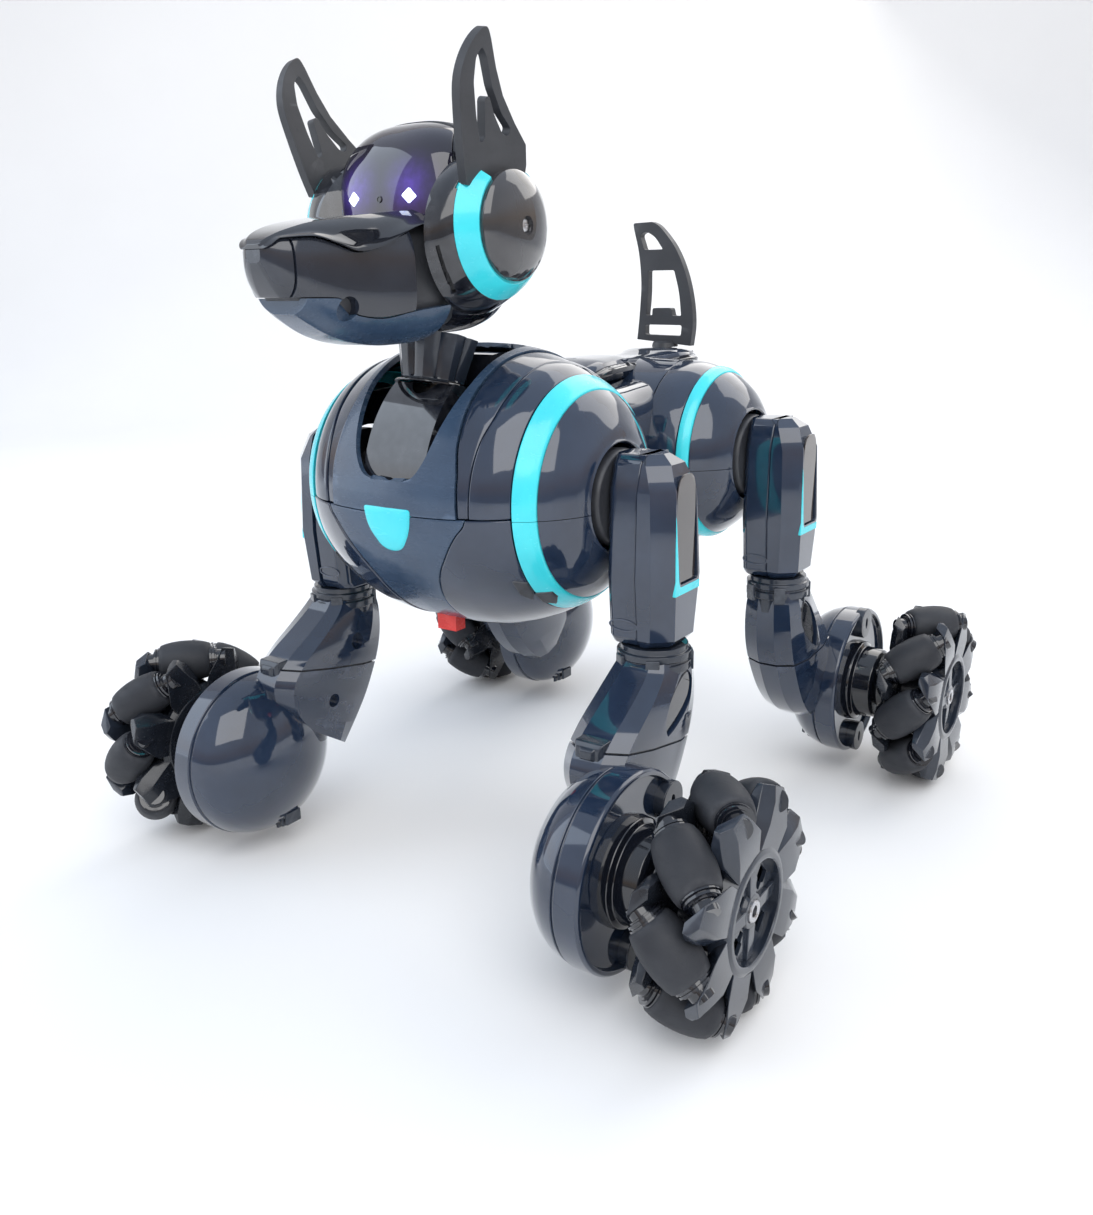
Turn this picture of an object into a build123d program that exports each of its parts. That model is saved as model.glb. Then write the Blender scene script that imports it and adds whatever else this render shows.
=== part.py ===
from build123d import *
from math import cos, radians, sin
import os

# Four-legged robot dog on roller wheels. Millimetres, +Z up, the dog faces -Y, its left side is +X.
# The origin is on the floor, midway between the nose and the hind wheels, under the middle of the back.

os.makedirs("parts", exist_ok=True)

# Whole dog
HIP_HEIGHT = 140.7          # height of both hip axles
FRONT_HIP_Y = -49.3
HIND_HIP_Y = 49.3
SEAM_HEIGHT = 138.0         # level seam between the two body shells
WALL = 2.2                  # thickness of the body shells
RUNNING_FIT = 0.05          # radial clearance of a pin that turns in its hole

# Body
RING_X = 42.3               # hip rings, distance from the middle of the body
FRONT_RADIUS = 47.0         # chest barrel at the middle
FRONT_RING_RADIUS = 36.5
HIND_RADIUS = 36.0          # rump barrel at the middle
HIND_RING_RADIUS = 32.6
HUB_X = 56.5                # outer end of each hip dome
HUB_HOLE_RADIUS = 17.5
BELLY_HEIGHT = 103.0        # flat underside between the barrels
BACK_HEIGHT = 171.0         # flat back under the rump cover
COVER_TOP = 179.0
WAIST_BACK_Y = 40.0         # the bridge ends inside the rump barrel
WAIST_HALF_WIDTH = 31.5
BATTERY_Y = 3.0             # middle of the battery and its door
DOOR_WIDTH = 34.0
DOOR_LENGTH = 50.0
DOOR_THICKNESS = 2.0
SWITCH_Y = -65.3
TAIL_Y = 82.0
TAIL_PEG_RADIUS = 3.0

# Legs
LEG_X = 69.3                # middle of the upper leg
LEG_INNER_X = 57.5
LEG_OUTER_X = 81.0
LEG_BOTTOM = 95.6
COLLAR_RADIUS = 12.0
COLLAR_HEIGHT = 84.7        # lower end of the collar
SPIGOT_RADIUS = 8.0         # pin of the collar, inside the upper leg

# Wheels
WHEEL_RADIUS = 37.5
WHEEL_MIDDLE_X = 114.7
WHEEL_INNER_X = 102.0
WHEEL_OUTER_X = 126.8
FRONT_WHEEL_Y = -91.4
HIND_WHEEL_Y = 103.0
ROLLER_COUNT = 8
ROLLER_RADIUS = 7.9
ROLLER_CIRCLE = WHEEL_RADIUS - ROLLER_RADIUS
ROLLER_HALF_LENGTH = 13.4
ROLLER_SLANT = 45.0
PIN_RADIUS = 1.6
HOUSING_RADIUS = 31.4
HOUSING_RIM_X = 87.0
HOUSING_APEX_X = 58.5
AXLE_RADIUS = 2.5

# Neck and head
DRUM_RADIUS = 43.8
DRUM_HALF_WIDTH = 12.4
NECK_BASE = (0, -71.6, 175.5)
NECK_TILT = 15.0            # the neck leans back
EAR_Y = -72.0
EAR_HEIGHT = 222.0
POD_RADIUS = 21.5
POD_FACE_X = 32.0           # outer face of the pods, distance from the middle of the head
EAR_X = 26.4                # foot of the ears, distance from the middle of the head
EAR_LEAN = 9.0              # the ears lean outwards
EAR_THICKNESS = 3.0


def save(part, name):
    """Label a finished piece and write it as its own STEP file."""
    part.label = name
    export_step(part, f"parts/{name}.step")


def hip_plane(hip_y):
    """Plane whose local X runs along a hip axle and whose local Y points backwards."""
    return Plane(origin=(0, hip_y, HIP_HEIGHT), x_dir=(1, 0, 0), z_dir=(0, 0, 1))


def hip_axis(hip_y):
    return Axis((0, hip_y, HIP_HEIGHT), (1, 0, 0))


def side_plane(x):
    """Plane across the body at x: local X points backwards, local Y points up."""
    return Plane(origin=(x, 0, 0), x_dir=(0, 1, 0), z_dir=(1, 0, 0))


def barrel(hip_y, middle_radius, ring_radius, inset=0.0):
    """Barrel-shaped hollow form around a hip axle, pulled in by inset."""
    hub_x = HUB_X - inset
    hub_radius = HUB_HOLE_RADIUS + 1.8 - inset * 0.5
    with BuildPart() as form:
        with BuildSketch(hip_plane(hip_y)):
            with BuildLine():
                Polyline((-hub_x, hub_radius), (-hub_x, 0), (hub_x, 0), (hub_x, hub_radius))
                Spline(
                    (hub_x, hub_radius),
                    (RING_X + 9.5, ring_radius * 0.78 - inset),
                    (RING_X, ring_radius - inset),
                    (RING_X * 0.6, middle_radius - 3.6 - inset),
                    (0, middle_radius - inset),
                    (-RING_X * 0.6, middle_radius - 3.6 - inset),
                    (-RING_X, ring_radius - inset),
                    (-RING_X - 9.5, ring_radius * 0.78 - inset),
                    (-hub_x, hub_radius),
                )
            make_face()
        revolve(axis=hip_axis(hip_y))
    return form.part


def waist(inset=0.0):
    """Bridge between the two barrels, with a flat belly and a flat back."""
    half_width = WAIST_HALF_WIDTH - inset
    height = BACK_HEIGHT - BELLY_HEIGHT - 2 * inset
    middle = (BACK_HEIGHT + BELLY_HEIGHT) / 2
    with BuildPart() as form:
        with BuildSketch(Plane.XZ.offset(-WAIST_BACK_Y)):
            with Locations((0, middle)):
                RectangleRounded(2 * half_width, height, 10)
        extrude(amount=WAIST_BACK_Y - FRONT_HIP_Y)
    return form.part


def spine(inset=0.0):
    """Raised back that carries the rump cover as far as the tail."""
    with BuildPart() as form:
        with BuildSketch(side_plane(-15 + inset)):
            with BuildLine():
                Polyline(
                    (-12 + inset, 150),
                    (-12 + inset, BACK_HEIGHT - inset),
                    (TAIL_Y + 6 - inset, BACK_HEIGHT + 3 - inset),
                    (TAIL_Y + 4 - inset, BACK_HEIGHT - 9),
                    (TAIL_Y - 14, 150),
                    close=True,
                )
            make_face()
        extrude(amount=30 - 2 * inset)
    return form.part


def body_form(inset=0.0):
    """Whole outside of the body, or its inside when inset is the wall thickness."""
    front = barrel(FRONT_HIP_Y, FRONT_RADIUS, FRONT_RING_RADIUS, inset)
    hind = barrel(HIND_HIP_Y, HIND_RADIUS, HIND_RING_RADIUS, inset)
    with BuildPart() as form:
        add(front)
        add(hind)
        add(waist(inset))
        add(spine(inset))
    return form.part


outer_form = body_form()
inner_form = body_form(WALL)

with BuildPart() as chest_badge:
    with BuildSketch(Plane.XZ.offset(-FRONT_HIP_Y)):
        with BuildLine():
            Polyline((-9.8, 141), (-8.9, 132), (0, 124.9), (8.9, 132), (9.8, 141), close=True)
        make_face()
        fillet(vertices(), 1.5)
    extrude(amount=60)
    with BuildSketch(hip_plane(FRONT_HIP_Y)):
        with Locations((0, FRONT_RADIUS - 0.6)):
            Rectangle(30, 1.4)
    revolve(axis=hip_axis(FRONT_HIP_Y), mode=Mode.INTERSECT)
save(chest_badge.part, "chest_badge")

with BuildPart() as casing:
    add(outer_form)
    add(inner_form, mode=Mode.SUBTRACT)
    # round openings that take the legs
    for hip_y in (FRONT_HIP_Y, HIND_HIP_Y):
        with BuildSketch(side_plane(-HUB_X - 1)):
            with Locations((hip_y, HIP_HEIGHT)):
                Circle(HUB_HOLE_RADIUS)
        extrude(amount=2 * HUB_X + 2, mode=Mode.SUBTRACT)
    # ribs that back the grooves of the coloured rings
    for hip_y, radius in ((FRONT_HIP_Y, FRONT_RING_RADIUS), (HIND_HIP_Y, HIND_RING_RADIUS)):
        for side in (-1, 1):
            with BuildSketch(hip_plane(hip_y)):
                with Locations((side * RING_X, radius - 2.7)):
                    Rectangle(7, 3.2)
            revolve(axis=hip_axis(hip_y))
    # grooves for the coloured rings
    for hip_y, radius in ((FRONT_HIP_Y, FRONT_RING_RADIUS), (HIND_HIP_Y, HIND_RING_RADIUS)):
        for side in (-1, 1):
            with BuildSketch(side_plane(side * RING_X - 2)):
                with Locations((hip_y, HIP_HEIGHT)):
                    Circle(radius + 4)
                    Circle(radius - 1.2, mode=Mode.SUBTRACT)
            extrude(amount=4, mode=Mode.SUBTRACT)
    # slot for the neck drum, wider towards the top
    with BuildSketch(Plane.XZ.offset(-FRONT_HIP_Y)):
        with BuildLine():
            Polyline((-17, 192), (-17, 170), (-9, 149), (9, 149), (17, 170), (17, 192), close=True)
        make_face()
        fillet(vertices().group_by(Axis.Y)[0], 3)
    extrude(amount=60, mode=Mode.SUBTRACT)
    with BuildSketch(Plane.XY.offset(HIP_HEIGHT + 30)):
        with Locations((0, FRONT_HIP_Y + 1)):
            RectangleRounded(34, 14, 5)
    extrude(amount=20, mode=Mode.SUBTRACT)
    add(chest_badge.part, mode=Mode.SUBTRACT)
    # slot of the power switch and opening of the battery door
    with BuildSketch(Plane.XY.offset(85)):
        with Locations((0, SWITCH_Y)):
            Rectangle(13, 6)
        with Locations((0, BATTERY_Y)):
            Rectangle(DOOR_WIDTH, DOOR_LENGTH)
    extrude(amount=BELLY_HEIGHT + WALL + 1 - 85, mode=Mode.SUBTRACT)
    # bore for the tail peg
    with BuildSketch(Plane.XY.offset(160)):
        with Locations((0, TAIL_Y)):
            Circle(TAIL_PEG_RADIUS + RUNNING_FIT)
    extrude(amount=20, mode=Mode.SUBTRACT)

with BuildPart() as body_shell_upper:
    add(casing.part)
    split(bisect_by=Plane.XY.offset(SEAM_HEIGHT), keep=Keep.TOP)
save(body_shell_upper.part, "body_shell_upper")

with BuildPart() as body_shell_lower:
    add(casing.part)
    split(bisect_by=Plane.XY.offset(SEAM_HEIGHT), keep=Keep.BOTTOM)
save(body_shell_lower.part, "body_shell_lower")


# ---------------------------------------------------------------- fittings of the body


def hip_rings(hip_y, ring_radius):
    """Pair of coloured rings that lie in the grooves around the hip domes."""
    with BuildPart() as rings:
        for side in (-1, 1):
            with BuildSketch(hip_plane(hip_y)):
                with Locations((side * RING_X, ring_radius - 0.25)):
                    RectangleRounded(3.8, 1.7, 0.5)
            revolve(axis=hip_axis(hip_y))
    return rings.part


save(hip_rings(FRONT_HIP_Y, FRONT_RING_RADIUS), "front_hip_rings")
save(hip_rings(HIND_HIP_Y, HIND_RING_RADIUS), "hind_hip_rings")

with BuildPart() as rump_cover:
    with BuildSketch(Plane.XY.offset(BACK_HEIGHT - 1)):
        with BuildLine():
            Spline((-14, -2), (-9, 34), (-15, 72))
            Line((-15, 72), (-10, TAIL_Y + 7))
            Line((-10, TAIL_Y + 7), (10, TAIL_Y + 7))
            Line((10, TAIL_Y + 7), (15, 72))
            Spline((15, 72), (9, 34), (14, -2))
            Line((14, -2), (-14, -2))
        make_face()
    extrude(amount=COVER_TOP - BACK_HEIGHT + 1)
    add(outer_form, mode=Mode.SUBTRACT)
    with BuildSketch(Plane.XY.offset(160)):
        with Locations((0, TAIL_Y)):
            Circle(TAIL_PEG_RADIUS + RUNNING_FIT)
    extrude(amount=20, mode=Mode.SUBTRACT)
save(rump_cover.part.solids().sort_by(SortBy.VOLUME)[-1], "rump_cover")

with BuildPart() as battery_door:
    with BuildSketch(Plane.XY.offset(BELLY_HEIGHT)):
        with Locations((0, BATTERY_Y)):
            Rectangle(DOOR_WIDTH - 0.4, DOOR_LENGTH - 0.4)
    extrude(amount=DOOR_THICKNESS)
    with BuildSketch(Plane.XY.offset(BELLY_HEIGHT + WALL)):
        with Locations((0, BATTERY_Y)):
            Rectangle(DOOR_WIDTH - 6, DOOR_LENGTH + 5)
            Rectangle(DOOR_WIDTH - 12, DOOR_LENGTH - 6, mode=Mode.SUBTRACT)
    extrude(amount=1.2)
    with BuildSketch(Plane.XY.offset(BELLY_HEIGHT + DOOR_THICKNESS)):
        with Locations((0, BATTERY_Y)):
            Rectangle(DOOR_WIDTH - 6, DOOR_LENGTH - 1)
            Rectangle(DOOR_WIDTH - 12, DOOR_LENGTH - 6, mode=Mode.SUBTRACT)
    extrude(amount=WALL - DOOR_THICKNESS + 0.2)
save(battery_door.part, "battery_door")

BATTERY_BOTTOM = BELLY_HEIGHT + 3.6
with BuildPart() as battery_pack:
    with BuildSketch(Plane.XZ.offset(-BATTERY_Y - 25)):
        with Locations((-7, BATTERY_BOTTOM + 7.2), (7, BATTERY_BOTTOM + 7.2)):
            Circle(7.2)
        with Locations((0, BATTERY_BOTTOM + 7.2)):
            Rectangle(14, 14.4)
    extrude(amount=50)
save(battery_pack.part, "battery_pack")

with BuildPart() as circuit_board:
    with BuildSketch(Plane.XY.offset(SEAM_HEIGHT + 6)):
        with Locations((0, BATTERY_Y)):
            Rectangle(50, 42)
    extrude(amount=1.6)
    with BuildSketch(Plane.XY.offset(SEAM_HEIGHT + 7.6)):
        with Locations((-12, -8), (-12, 8)):
            Rectangle(12, 9)
    extrude(amount=1.8)
    with BuildSketch(Plane.XY.offset(SEAM_HEIGHT + 7.6)):
        with Locations((14, -8), (14, 2), (14, 12)):
            Rectangle(8, 5)
    extrude(amount=5)
save(circuit_board.part, "circuit_board")

BOSS_RADIUS = 9.0
BOSS_END_X = 49.0
STUB_RADIUS = 5.0


def leg_gearbox(hip_y, half_width, half_depth, half_height):
    """Gearbox and motor that turn one pair of legs, with a bored boss for each leg."""
    with BuildPart() as gearbox:
        with BuildSketch(side_plane(-half_width)):
            with Locations((hip_y, HIP_HEIGHT)):
                RectangleRounded(2 * half_depth, 2 * half_height, 8)
        extrude(amount=2 * half_width)
        with BuildSketch(side_plane(-BOSS_END_X)):
            with Locations((hip_y, HIP_HEIGHT)):
                Circle(BOSS_RADIUS)
        extrude(amount=2 * BOSS_END_X)
        for side in (-1, 1):
            with BuildSketch(side_plane(side * (BOSS_END_X - 7.5) - 7.5)):
                with Locations((hip_y, HIP_HEIGHT)):
                    Circle(STUB_RADIUS + RUNNING_FIT)
            extrude(amount=15, mode=Mode.SUBTRACT)
        # motor can across the body, above the battery
        with BuildSketch(side_plane(-half_width)):
            with Locations((hip_y + (half_depth - 4 if hip_y < 0 else 4 - half_depth), HIP_HEIGHT - 4)):
                Circle(8)
        extrude(amount=2 * half_width)
    return gearbox.part


save(leg_gearbox(FRONT_HIP_Y, 9.5, 20, 22), "front_leg_gearbox")
save(leg_gearbox(HIND_HIP_Y, 20, 20, 22), "hind_leg_gearbox")

# screws that close the two shells from below
SCREW_PLACES = [(x, y) for x in (-24, 24) for y in (FRONT_HIP_Y - 18, HIND_HIP_Y + 14)]
with BuildPart() as body_screws:
    with BuildSketch(Plane.XY.offset(SEAM_HEIGHT - 16)):
        with Locations(*SCREW_PLACES):
            Circle(1.3)
    extrude(amount=24)
    with BuildSketch(Plane.XY.offset(SEAM_HEIGHT - 18)):
        with Locations(*SCREW_PLACES):
            Circle(2.6)
    extrude(amount=2)
save(body_screws.part, "body_screws")

with BuildPart() as power_switch:
    with BuildSketch(Plane.XY.offset(92.2)):
        with Locations((-1.5, SWITCH_Y)):
            Rectangle(8, 5)
    extrude(amount=9)
    with BuildSketch(Plane.XY.offset(101.1)):
        with Locations((-1.5, SWITCH_Y)):
            Rectangle(12, 8)
    extrude(amount=1.2)
save(power_switch.part, "power_switch")

# ---------------------------------------------------------------- tail

TAIL_THICKNESS = 4.0
with BuildPart() as tail:
    with BuildSketch(Plane.XZ.offset(-TAIL_Y - TAIL_THICKNESS / 2)):
        with BuildLine():
            right_edge = Spline((13.2, 181), (10.5, 205), (-5.5, 229))
            Line(right_edge @ 1, (-13.5, 229.5))
            left_edge = Spline((-13.5, 229.5), (-9.5, 205), (-13.2, 181))
            Line(left_edge @ 1, (13.2, 181))
        make_face()
        with Locations((0, 187)):
            Rectangle(15, 5, mode=Mode.SUBTRACT)
        with Locations((0, 202)):
            Rectangle(11, 16, mode=Mode.SUBTRACT)
        with Locations((-5.5, 219)):
            Rectangle(6, 6, mode=Mode.SUBTRACT)
    extrude(amount=TAIL_THICKNESS)
    with BuildSketch(Plane.XY.offset(163)):
        with Locations((0, TAIL_Y)):
            Circle(TAIL_PEG_RADIUS)
    extrude(amount=19)
save(tail.part, "tail")

# ---------------------------------------------------------------- neck drum

NECK_AXIS_DIRECTION = (0, sin(radians(NECK_TILT)), cos(radians(NECK_TILT)))
neck_plane = Plane(origin=NECK_BASE, x_dir=(1, 0, 0), z_dir=NECK_AXIS_DIRECTION)
NECK_PIN_RADIUS = 6.0
CHEEK_THICKNESS = 2.0
NECK_BOSS_RADIUS = 14.4
HEAD_STEP_HEIGHT = 21.0     # above the foot of the neck, along the neck

with BuildPart() as neck_drum:
    # curved front of the drum, a ring cut to the sector behind the slot
    with BuildSketch(side_plane(-DRUM_HALF_WIDTH)):
        with Locations((FRONT_HIP_Y, HIP_HEIGHT)):
            Circle(DRUM_RADIUS)
    extrude(amount=2 * DRUM_HALF_WIDTH)
    with BuildSketch(side_plane(-DRUM_HALF_WIDTH + CHEEK_THICKNESS)):
        with Locations((FRONT_HIP_Y, HIP_HEIGHT)):
            Circle(DRUM_RADIUS - 9)
    extrude(amount=2 * (DRUM_HALF_WIDTH - CHEEK_THICKNESS), mode=Mode.SUBTRACT)
    with BuildSketch(side_plane(-DRUM_HALF_WIDTH - 1)):
        with BuildLine():
            Polyline(
                (FRONT_HIP_Y - 60, HIP_HEIGHT - 14),
                (FRONT_HIP_Y, HIP_HEIGHT - 14),
                (FRONT_HIP_Y + 40, HIP_HEIGHT + 60),
                (FRONT_HIP_Y - 60, HIP_HEIGHT + 60),
                close=True,
            )
        make_face()
    extrude(amount=2 * DRUM_HALF_WIDTH + 2, mode=Mode.INTERSECT)
    for x in (-DRUM_HALF_WIDTH, DRUM_HALF_WIDTH - CHEEK_THICKNESS):
        with BuildSketch(side_plane(x)):
            with Locations((FRONT_HIP_Y, HIP_HEIGHT)):
                Circle(BOSS_RADIUS + 5)
        extrude(amount=CHEEK_THICKNESS)
    # flat seat under the neck and the hole for its pin
    with BuildSketch(neck_plane):
        Rectangle(40, 27)
    extrude(amount=30, mode=Mode.SUBTRACT)
    with BuildSketch(neck_plane.offset(-14)):
        Circle(NECK_PIN_RADIUS + RUNNING_FIT)
    extrude(amount=20, mode=Mode.SUBTRACT)
    with BuildSketch(side_plane(-DRUM_HALF_WIDTH - 1)):
        with Locations((FRONT_HIP_Y, HIP_HEIGHT)):
            Circle(BOSS_RADIUS + RUNNING_FIT)
    extrude(amount=2 * DRUM_HALF_WIDTH + 2, mode=Mode.SUBTRACT)
save(neck_drum.part, "neck_drum")

# the column stands pinned on the drum and the head turns on its top
with BuildPart() as neck_column:
    with BuildSketch(neck_plane.offset(-7)):
        Circle(NECK_PIN_RADIUS)
    extrude(amount=8)
    with BuildSketch(neck_plane):
        RegularPolygon(11.0, 8)
    with BuildSketch(neck_plane.offset(15)):
        RegularPolygon(14.0, 8)
    loft()
save(neck_column.part, "neck_column")

# ---------------------------------------------------------------- head

HEAD_PARTS = {
    "head_shell": [(-90, 214), (-78, 186), (-40, 186), (-40, 256), (-74, 256), (-78, 226), (-90, 226)],
    "face_visor": [(-74, 256), (-78, 226), (-92, 226), (-92, 256)],
    "snout_plate": [(-90, 226), (-150, 226), (-150, 211), (-128, 214), (-90, 219)],
    "nose_cap": [(-128, 214), (-150, 211), (-150, 190), (-124, 190)],
    "lower_jaw": [(-90, 214), (-90, 219), (-128, 214), (-124, 190), (-124, 180), (-78, 180), (-78, 186)],
}

with BuildPart() as head_form:
    with BuildSketch(side_plane(-35)):
        with BuildLine():
            Spline(
                (-60, 191),
                (-50, 205),
                (-50, 228),
                (-62, 247),
                (-78, 251),
                (-87, 240),
                (-91, 227),
                (-120, 224),
                (-140.5, 217.5),
            )
            Spline((-140.5, 217.5), (-138, 206), (-125.8, 198), (-94.6, 189), (-60, 191))
        make_face()
    extrude(amount=70)
    with BuildSketch(Plane.XY.offset(180)):
        with BuildLine():
            Spline(
                (0, -141),
                (5.5, -138.5),
                (12.5, -124),
                (16, -104),
                (24.5, -86),
                (27.5, -68),
                (19, -53),
                (0, -48),
            )
            mirror(about=Plane.YZ)
        make_face()
    extrude(amount=80, mode=Mode.INTERSECT)
    with BuildSketch(Plane.XZ.offset(40)):
        with Locations((0, 220.5)):
            Circle(38)
    extrude(amount=110, mode=Mode.INTERSECT)
    # step under the back of the head, clear of the body when the head turns
    with BuildSketch(neck_plane.offset(6)):
        Circle(50)
        Circle(NECK_BOSS_RADIUS, mode=Mode.SUBTRACT)
        with Locations((0, -64)):
            Rectangle(100, 100, mode=Mode.SUBTRACT)
    extrude(amount=HEAD_STEP_HEIGHT - 6, mode=Mode.SUBTRACT)

EYE_X = 10.0
EYE_HEIGHT = 233.0
with BuildPart() as eye_lights:
    with BuildSketch(Plane.XZ.offset(80)):
        with Locations((-EYE_X, EYE_HEIGHT), (EYE_X, EYE_HEIGHT)):
            Rectangle(5, 4.4)
    extrude(amount=9)
save(eye_lights.part, "eye_lights")

for name, outline in HEAD_PARTS.items():
    with BuildPart() as piece:
        with BuildSketch(side_plane(-40)):
            with BuildLine():
                Polyline(*outline, close=True)
            make_face()
        extrude(amount=80)
        add(head_form.part, mode=Mode.INTERSECT)
        if name in ("head_shell", "lower_jaw"):
            with BuildSketch(neck_plane.offset(4)):
                Circle(14.6)
            extrude(amount=11.1, mode=Mode.SUBTRACT)
        if name == "face_visor":
            add(eye_lights.part, mode=Mode.SUBTRACT)
    save(piece.part, name)


def ear_plane(x):
    """Plane across the head at x through the middle of the ear pods."""
    return Plane(origin=(x, EAR_Y, EAR_HEIGHT), x_dir=(0, 1, 0), z_dir=(1, 0, 0))


def ear_pod():
    """Round pod on the left side of the head, open at the top for the root of the ear."""
    with BuildPart() as pod:
        with BuildSketch(ear_plane(POD_FACE_X - 13)):
            Circle(17)
        with BuildSketch(ear_plane(POD_FACE_X - 8)):
            Circle(POD_RADIUS)
        loft()
        with BuildSketch(ear_plane(POD_FACE_X - 8)):
            Circle(POD_RADIUS)
        extrude(amount=8)
        with BuildSketch(ear_blade_plane(-0.3)):
            with Locations((-3, 20)):
                Rectangle(36, 20)
        extrude(amount=EAR_THICKNESS + 0.6, mode=Mode.SUBTRACT)
        add(head_form.part, mode=Mode.SUBTRACT)
    return pod.part.solids().sort_by(SortBy.VOLUME)[-1]


def ear_blade_plane(offset=0.0):
    """Plane of the inner face of the left ear, leaning outwards about the middle of the pod."""
    lean = radians(EAR_LEAN)
    face = Plane(origin=(EAR_X, EAR_Y, EAR_HEIGHT), x_dir=(0, 1, 0), z_dir=(cos(lean), 0, -sin(lean)))
    return face.offset(offset)


def ear():
    """Flat horn-shaped ear with a forked slot."""
    with BuildPart() as blade:
        with BuildSketch(ear_blade_plane()):
            with BuildLine():
                Line((-19, 10.3), (9, 10.3))
                Spline((9, 10.3), (10, 22), (0, 36), (-12, 50))
                Line((-12, 50), (-15.5, 51.1))
                Spline((-15.5, 51.1), (-24, 38), (-19, 10.3))
            make_face()
            with BuildLine():
                Polyline((-15, 22), (-17, 42), (-12, 42), (4, 26), (-1, 24), (-10, 33), (-12, 22), close=True)
            make_face(mode=Mode.SUBTRACT)
        extrude(amount=EAR_THICKNESS)
    return blade.part


def ear_ring():
    """Coloured C-shaped ring on the outside of the pod."""
    with BuildPart() as ring:
        with BuildSketch(ear_plane(POD_FACE_X)):
            Circle(POD_RADIUS - 0.8)
            Circle(15.7, mode=Mode.SUBTRACT)
            with Locations((-4, 21)):
                Rectangle(38, 22, mode=Mode.SUBTRACT)
        extrude(amount=2.4)
    return ring.part


def ear_cap():
    """Domed disc on the outside of the pod, with a screw hole in the middle."""
    with BuildPart() as cap:
        with BuildSketch(ear_plane(POD_FACE_X)):
            Circle(15.4)
        extrude(amount=2.2)
        with BuildSketch(ear_plane(POD_FACE_X + 2.2)):
            Circle(15.4)
        with BuildSketch(ear_plane(POD_FACE_X + 6)):
            Circle(9)
        loft()
        with BuildSketch(ear_plane(POD_FACE_X + 2)):
            Circle(2.2)
        extrude(amount=6, mode=Mode.SUBTRACT)
    return cap.part


left_pod = ear_pod()
left_ear = ear()
save(left_pod, "left_ear_pod")
save(mirror(left_pod, about=Plane.YZ), "right_ear_pod")
save(left_ear, "left_ear")
save(mirror(left_ear, about=Plane.YZ), "right_ear")
for piece, name in ((ear_ring(), "ear_rings"), (ear_cap(), "ear_caps")):
    with BuildPart() as pair:
        add(piece)
        mirror(about=Plane.YZ)
    save(pair.part, name)

# ---------------------------------------------------------------- legs

LEG_PROFILE = [(-9, 60.4), (9, 60.4), (13, 54), (13, 22), (10.5, 0), (-10.5, 0), (-13, 22), (-13, 54)]
FRONT_SHIN = [
    (-10, 92), (-27, 81), (-41, 68), (-46, 50), (-40, 34), (-14, 27), (1.3, 48), (11.3, 70), (10, 91),
]
HIND_SHIN = [(-9, 91), (-10.5, 68), (0, 46), (18, 29), (44, 36), (46, 50), (33.7, 63), (20, 79), (9, 92)]


def upper_leg(hip_y):
    """Left upper leg block: hub and stub shaft for the hip, socket for the collar, seat for the trim."""
    with BuildPart() as leg:
        with BuildSketch(side_plane(LEG_INNER_X)):
            with BuildLine():
                Polyline(*[(hip_y + y, LEG_BOTTOM + z) for y, z in LEG_PROFILE], close=True)
            make_face()
        extrude(amount=LEG_OUTER_X - LEG_INNER_X)
        chamfer(faces().sort_by(Axis.X)[-1].edges(), 2.5)
        with BuildSketch(side_plane(BOSS_END_X + 0.4)):
            with Locations((hip_y, HIP_HEIGHT)):
                Circle(HUB_HOLE_RADIUS - 1.5)
        extrude(amount=LEG_INNER_X - BOSS_END_X - 0.4)
        with BuildSketch(side_plane(BOSS_END_X - 11)):
            with Locations((hip_y, HIP_HEIGHT)):
                Circle(STUB_RADIUS)
        extrude(amount=14)
        with BuildSketch(Plane.XY.offset(LEG_BOTTOM)):
            with Locations((LEG_X, hip_y)):
                Circle(SPIGOT_RADIUS + RUNNING_FIT)
        extrude(amount=14, mode=Mode.SUBTRACT)
    return leg.part


def leg_trim(hip_y):
    """Coloured strip along the front and bottom of the outer face of the upper leg."""
    with BuildPart() as trim:
        with BuildSketch(side_plane(LEG_OUTER_X)):
            with BuildLine():
                Polyline(
                    (hip_y - 9.5, 137),
                    (hip_y - 8, 114),
                    (hip_y + 8.5, 114),
                    (hip_y + 8.5, 116.4),
                    (hip_y - 6, 116.4),
                    close=True,
                )
            make_face()
        extrude(amount=0.6)
    return trim.part


def housing_form(wheel_y, inset=0.0):
    """Cup-shaped form of the wheel housing, pulled in by inset."""
    plane = Plane(origin=(0, wheel_y, WHEEL_RADIUS), x_dir=(1, 0, 0), z_dir=(0, 0, 1))
    apex = HOUSING_APEX_X + inset
    radius = HOUSING_RADIUS - inset
    shoulder = apex + 19.5
    rim = HOUSING_RIM_X - inset
    with BuildPart() as form:
        with BuildSketch(plane):
            with BuildLine():
                Spline((apex, 0), (apex + 2.2, radius * 0.5), (apex + 8, radius * 0.82), (shoulder, radius))
                Polyline((shoulder, radius), (rim, radius), (rim, 0), (apex, 0))
            make_face()
        revolve(axis=Axis((0, wheel_y, WHEEL_RADIUS), (1, 0, 0)))
    return form.part


def wheel_housing(wheel_y):
    """Hollow cup around the wheel motor, closed by a wall with a hole for the motor."""
    with BuildPart() as housing:
        add(housing_form(wheel_y))
        add(housing_form(wheel_y, 2.0), mode=Mode.SUBTRACT)
        with BuildSketch(side_plane(HOUSING_RIM_X - 4)):
            with Locations((wheel_y, WHEEL_RADIUS)):
                Circle(12.2)
        extrude(amount=8, mode=Mode.SUBTRACT)
    return housing.part


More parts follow.
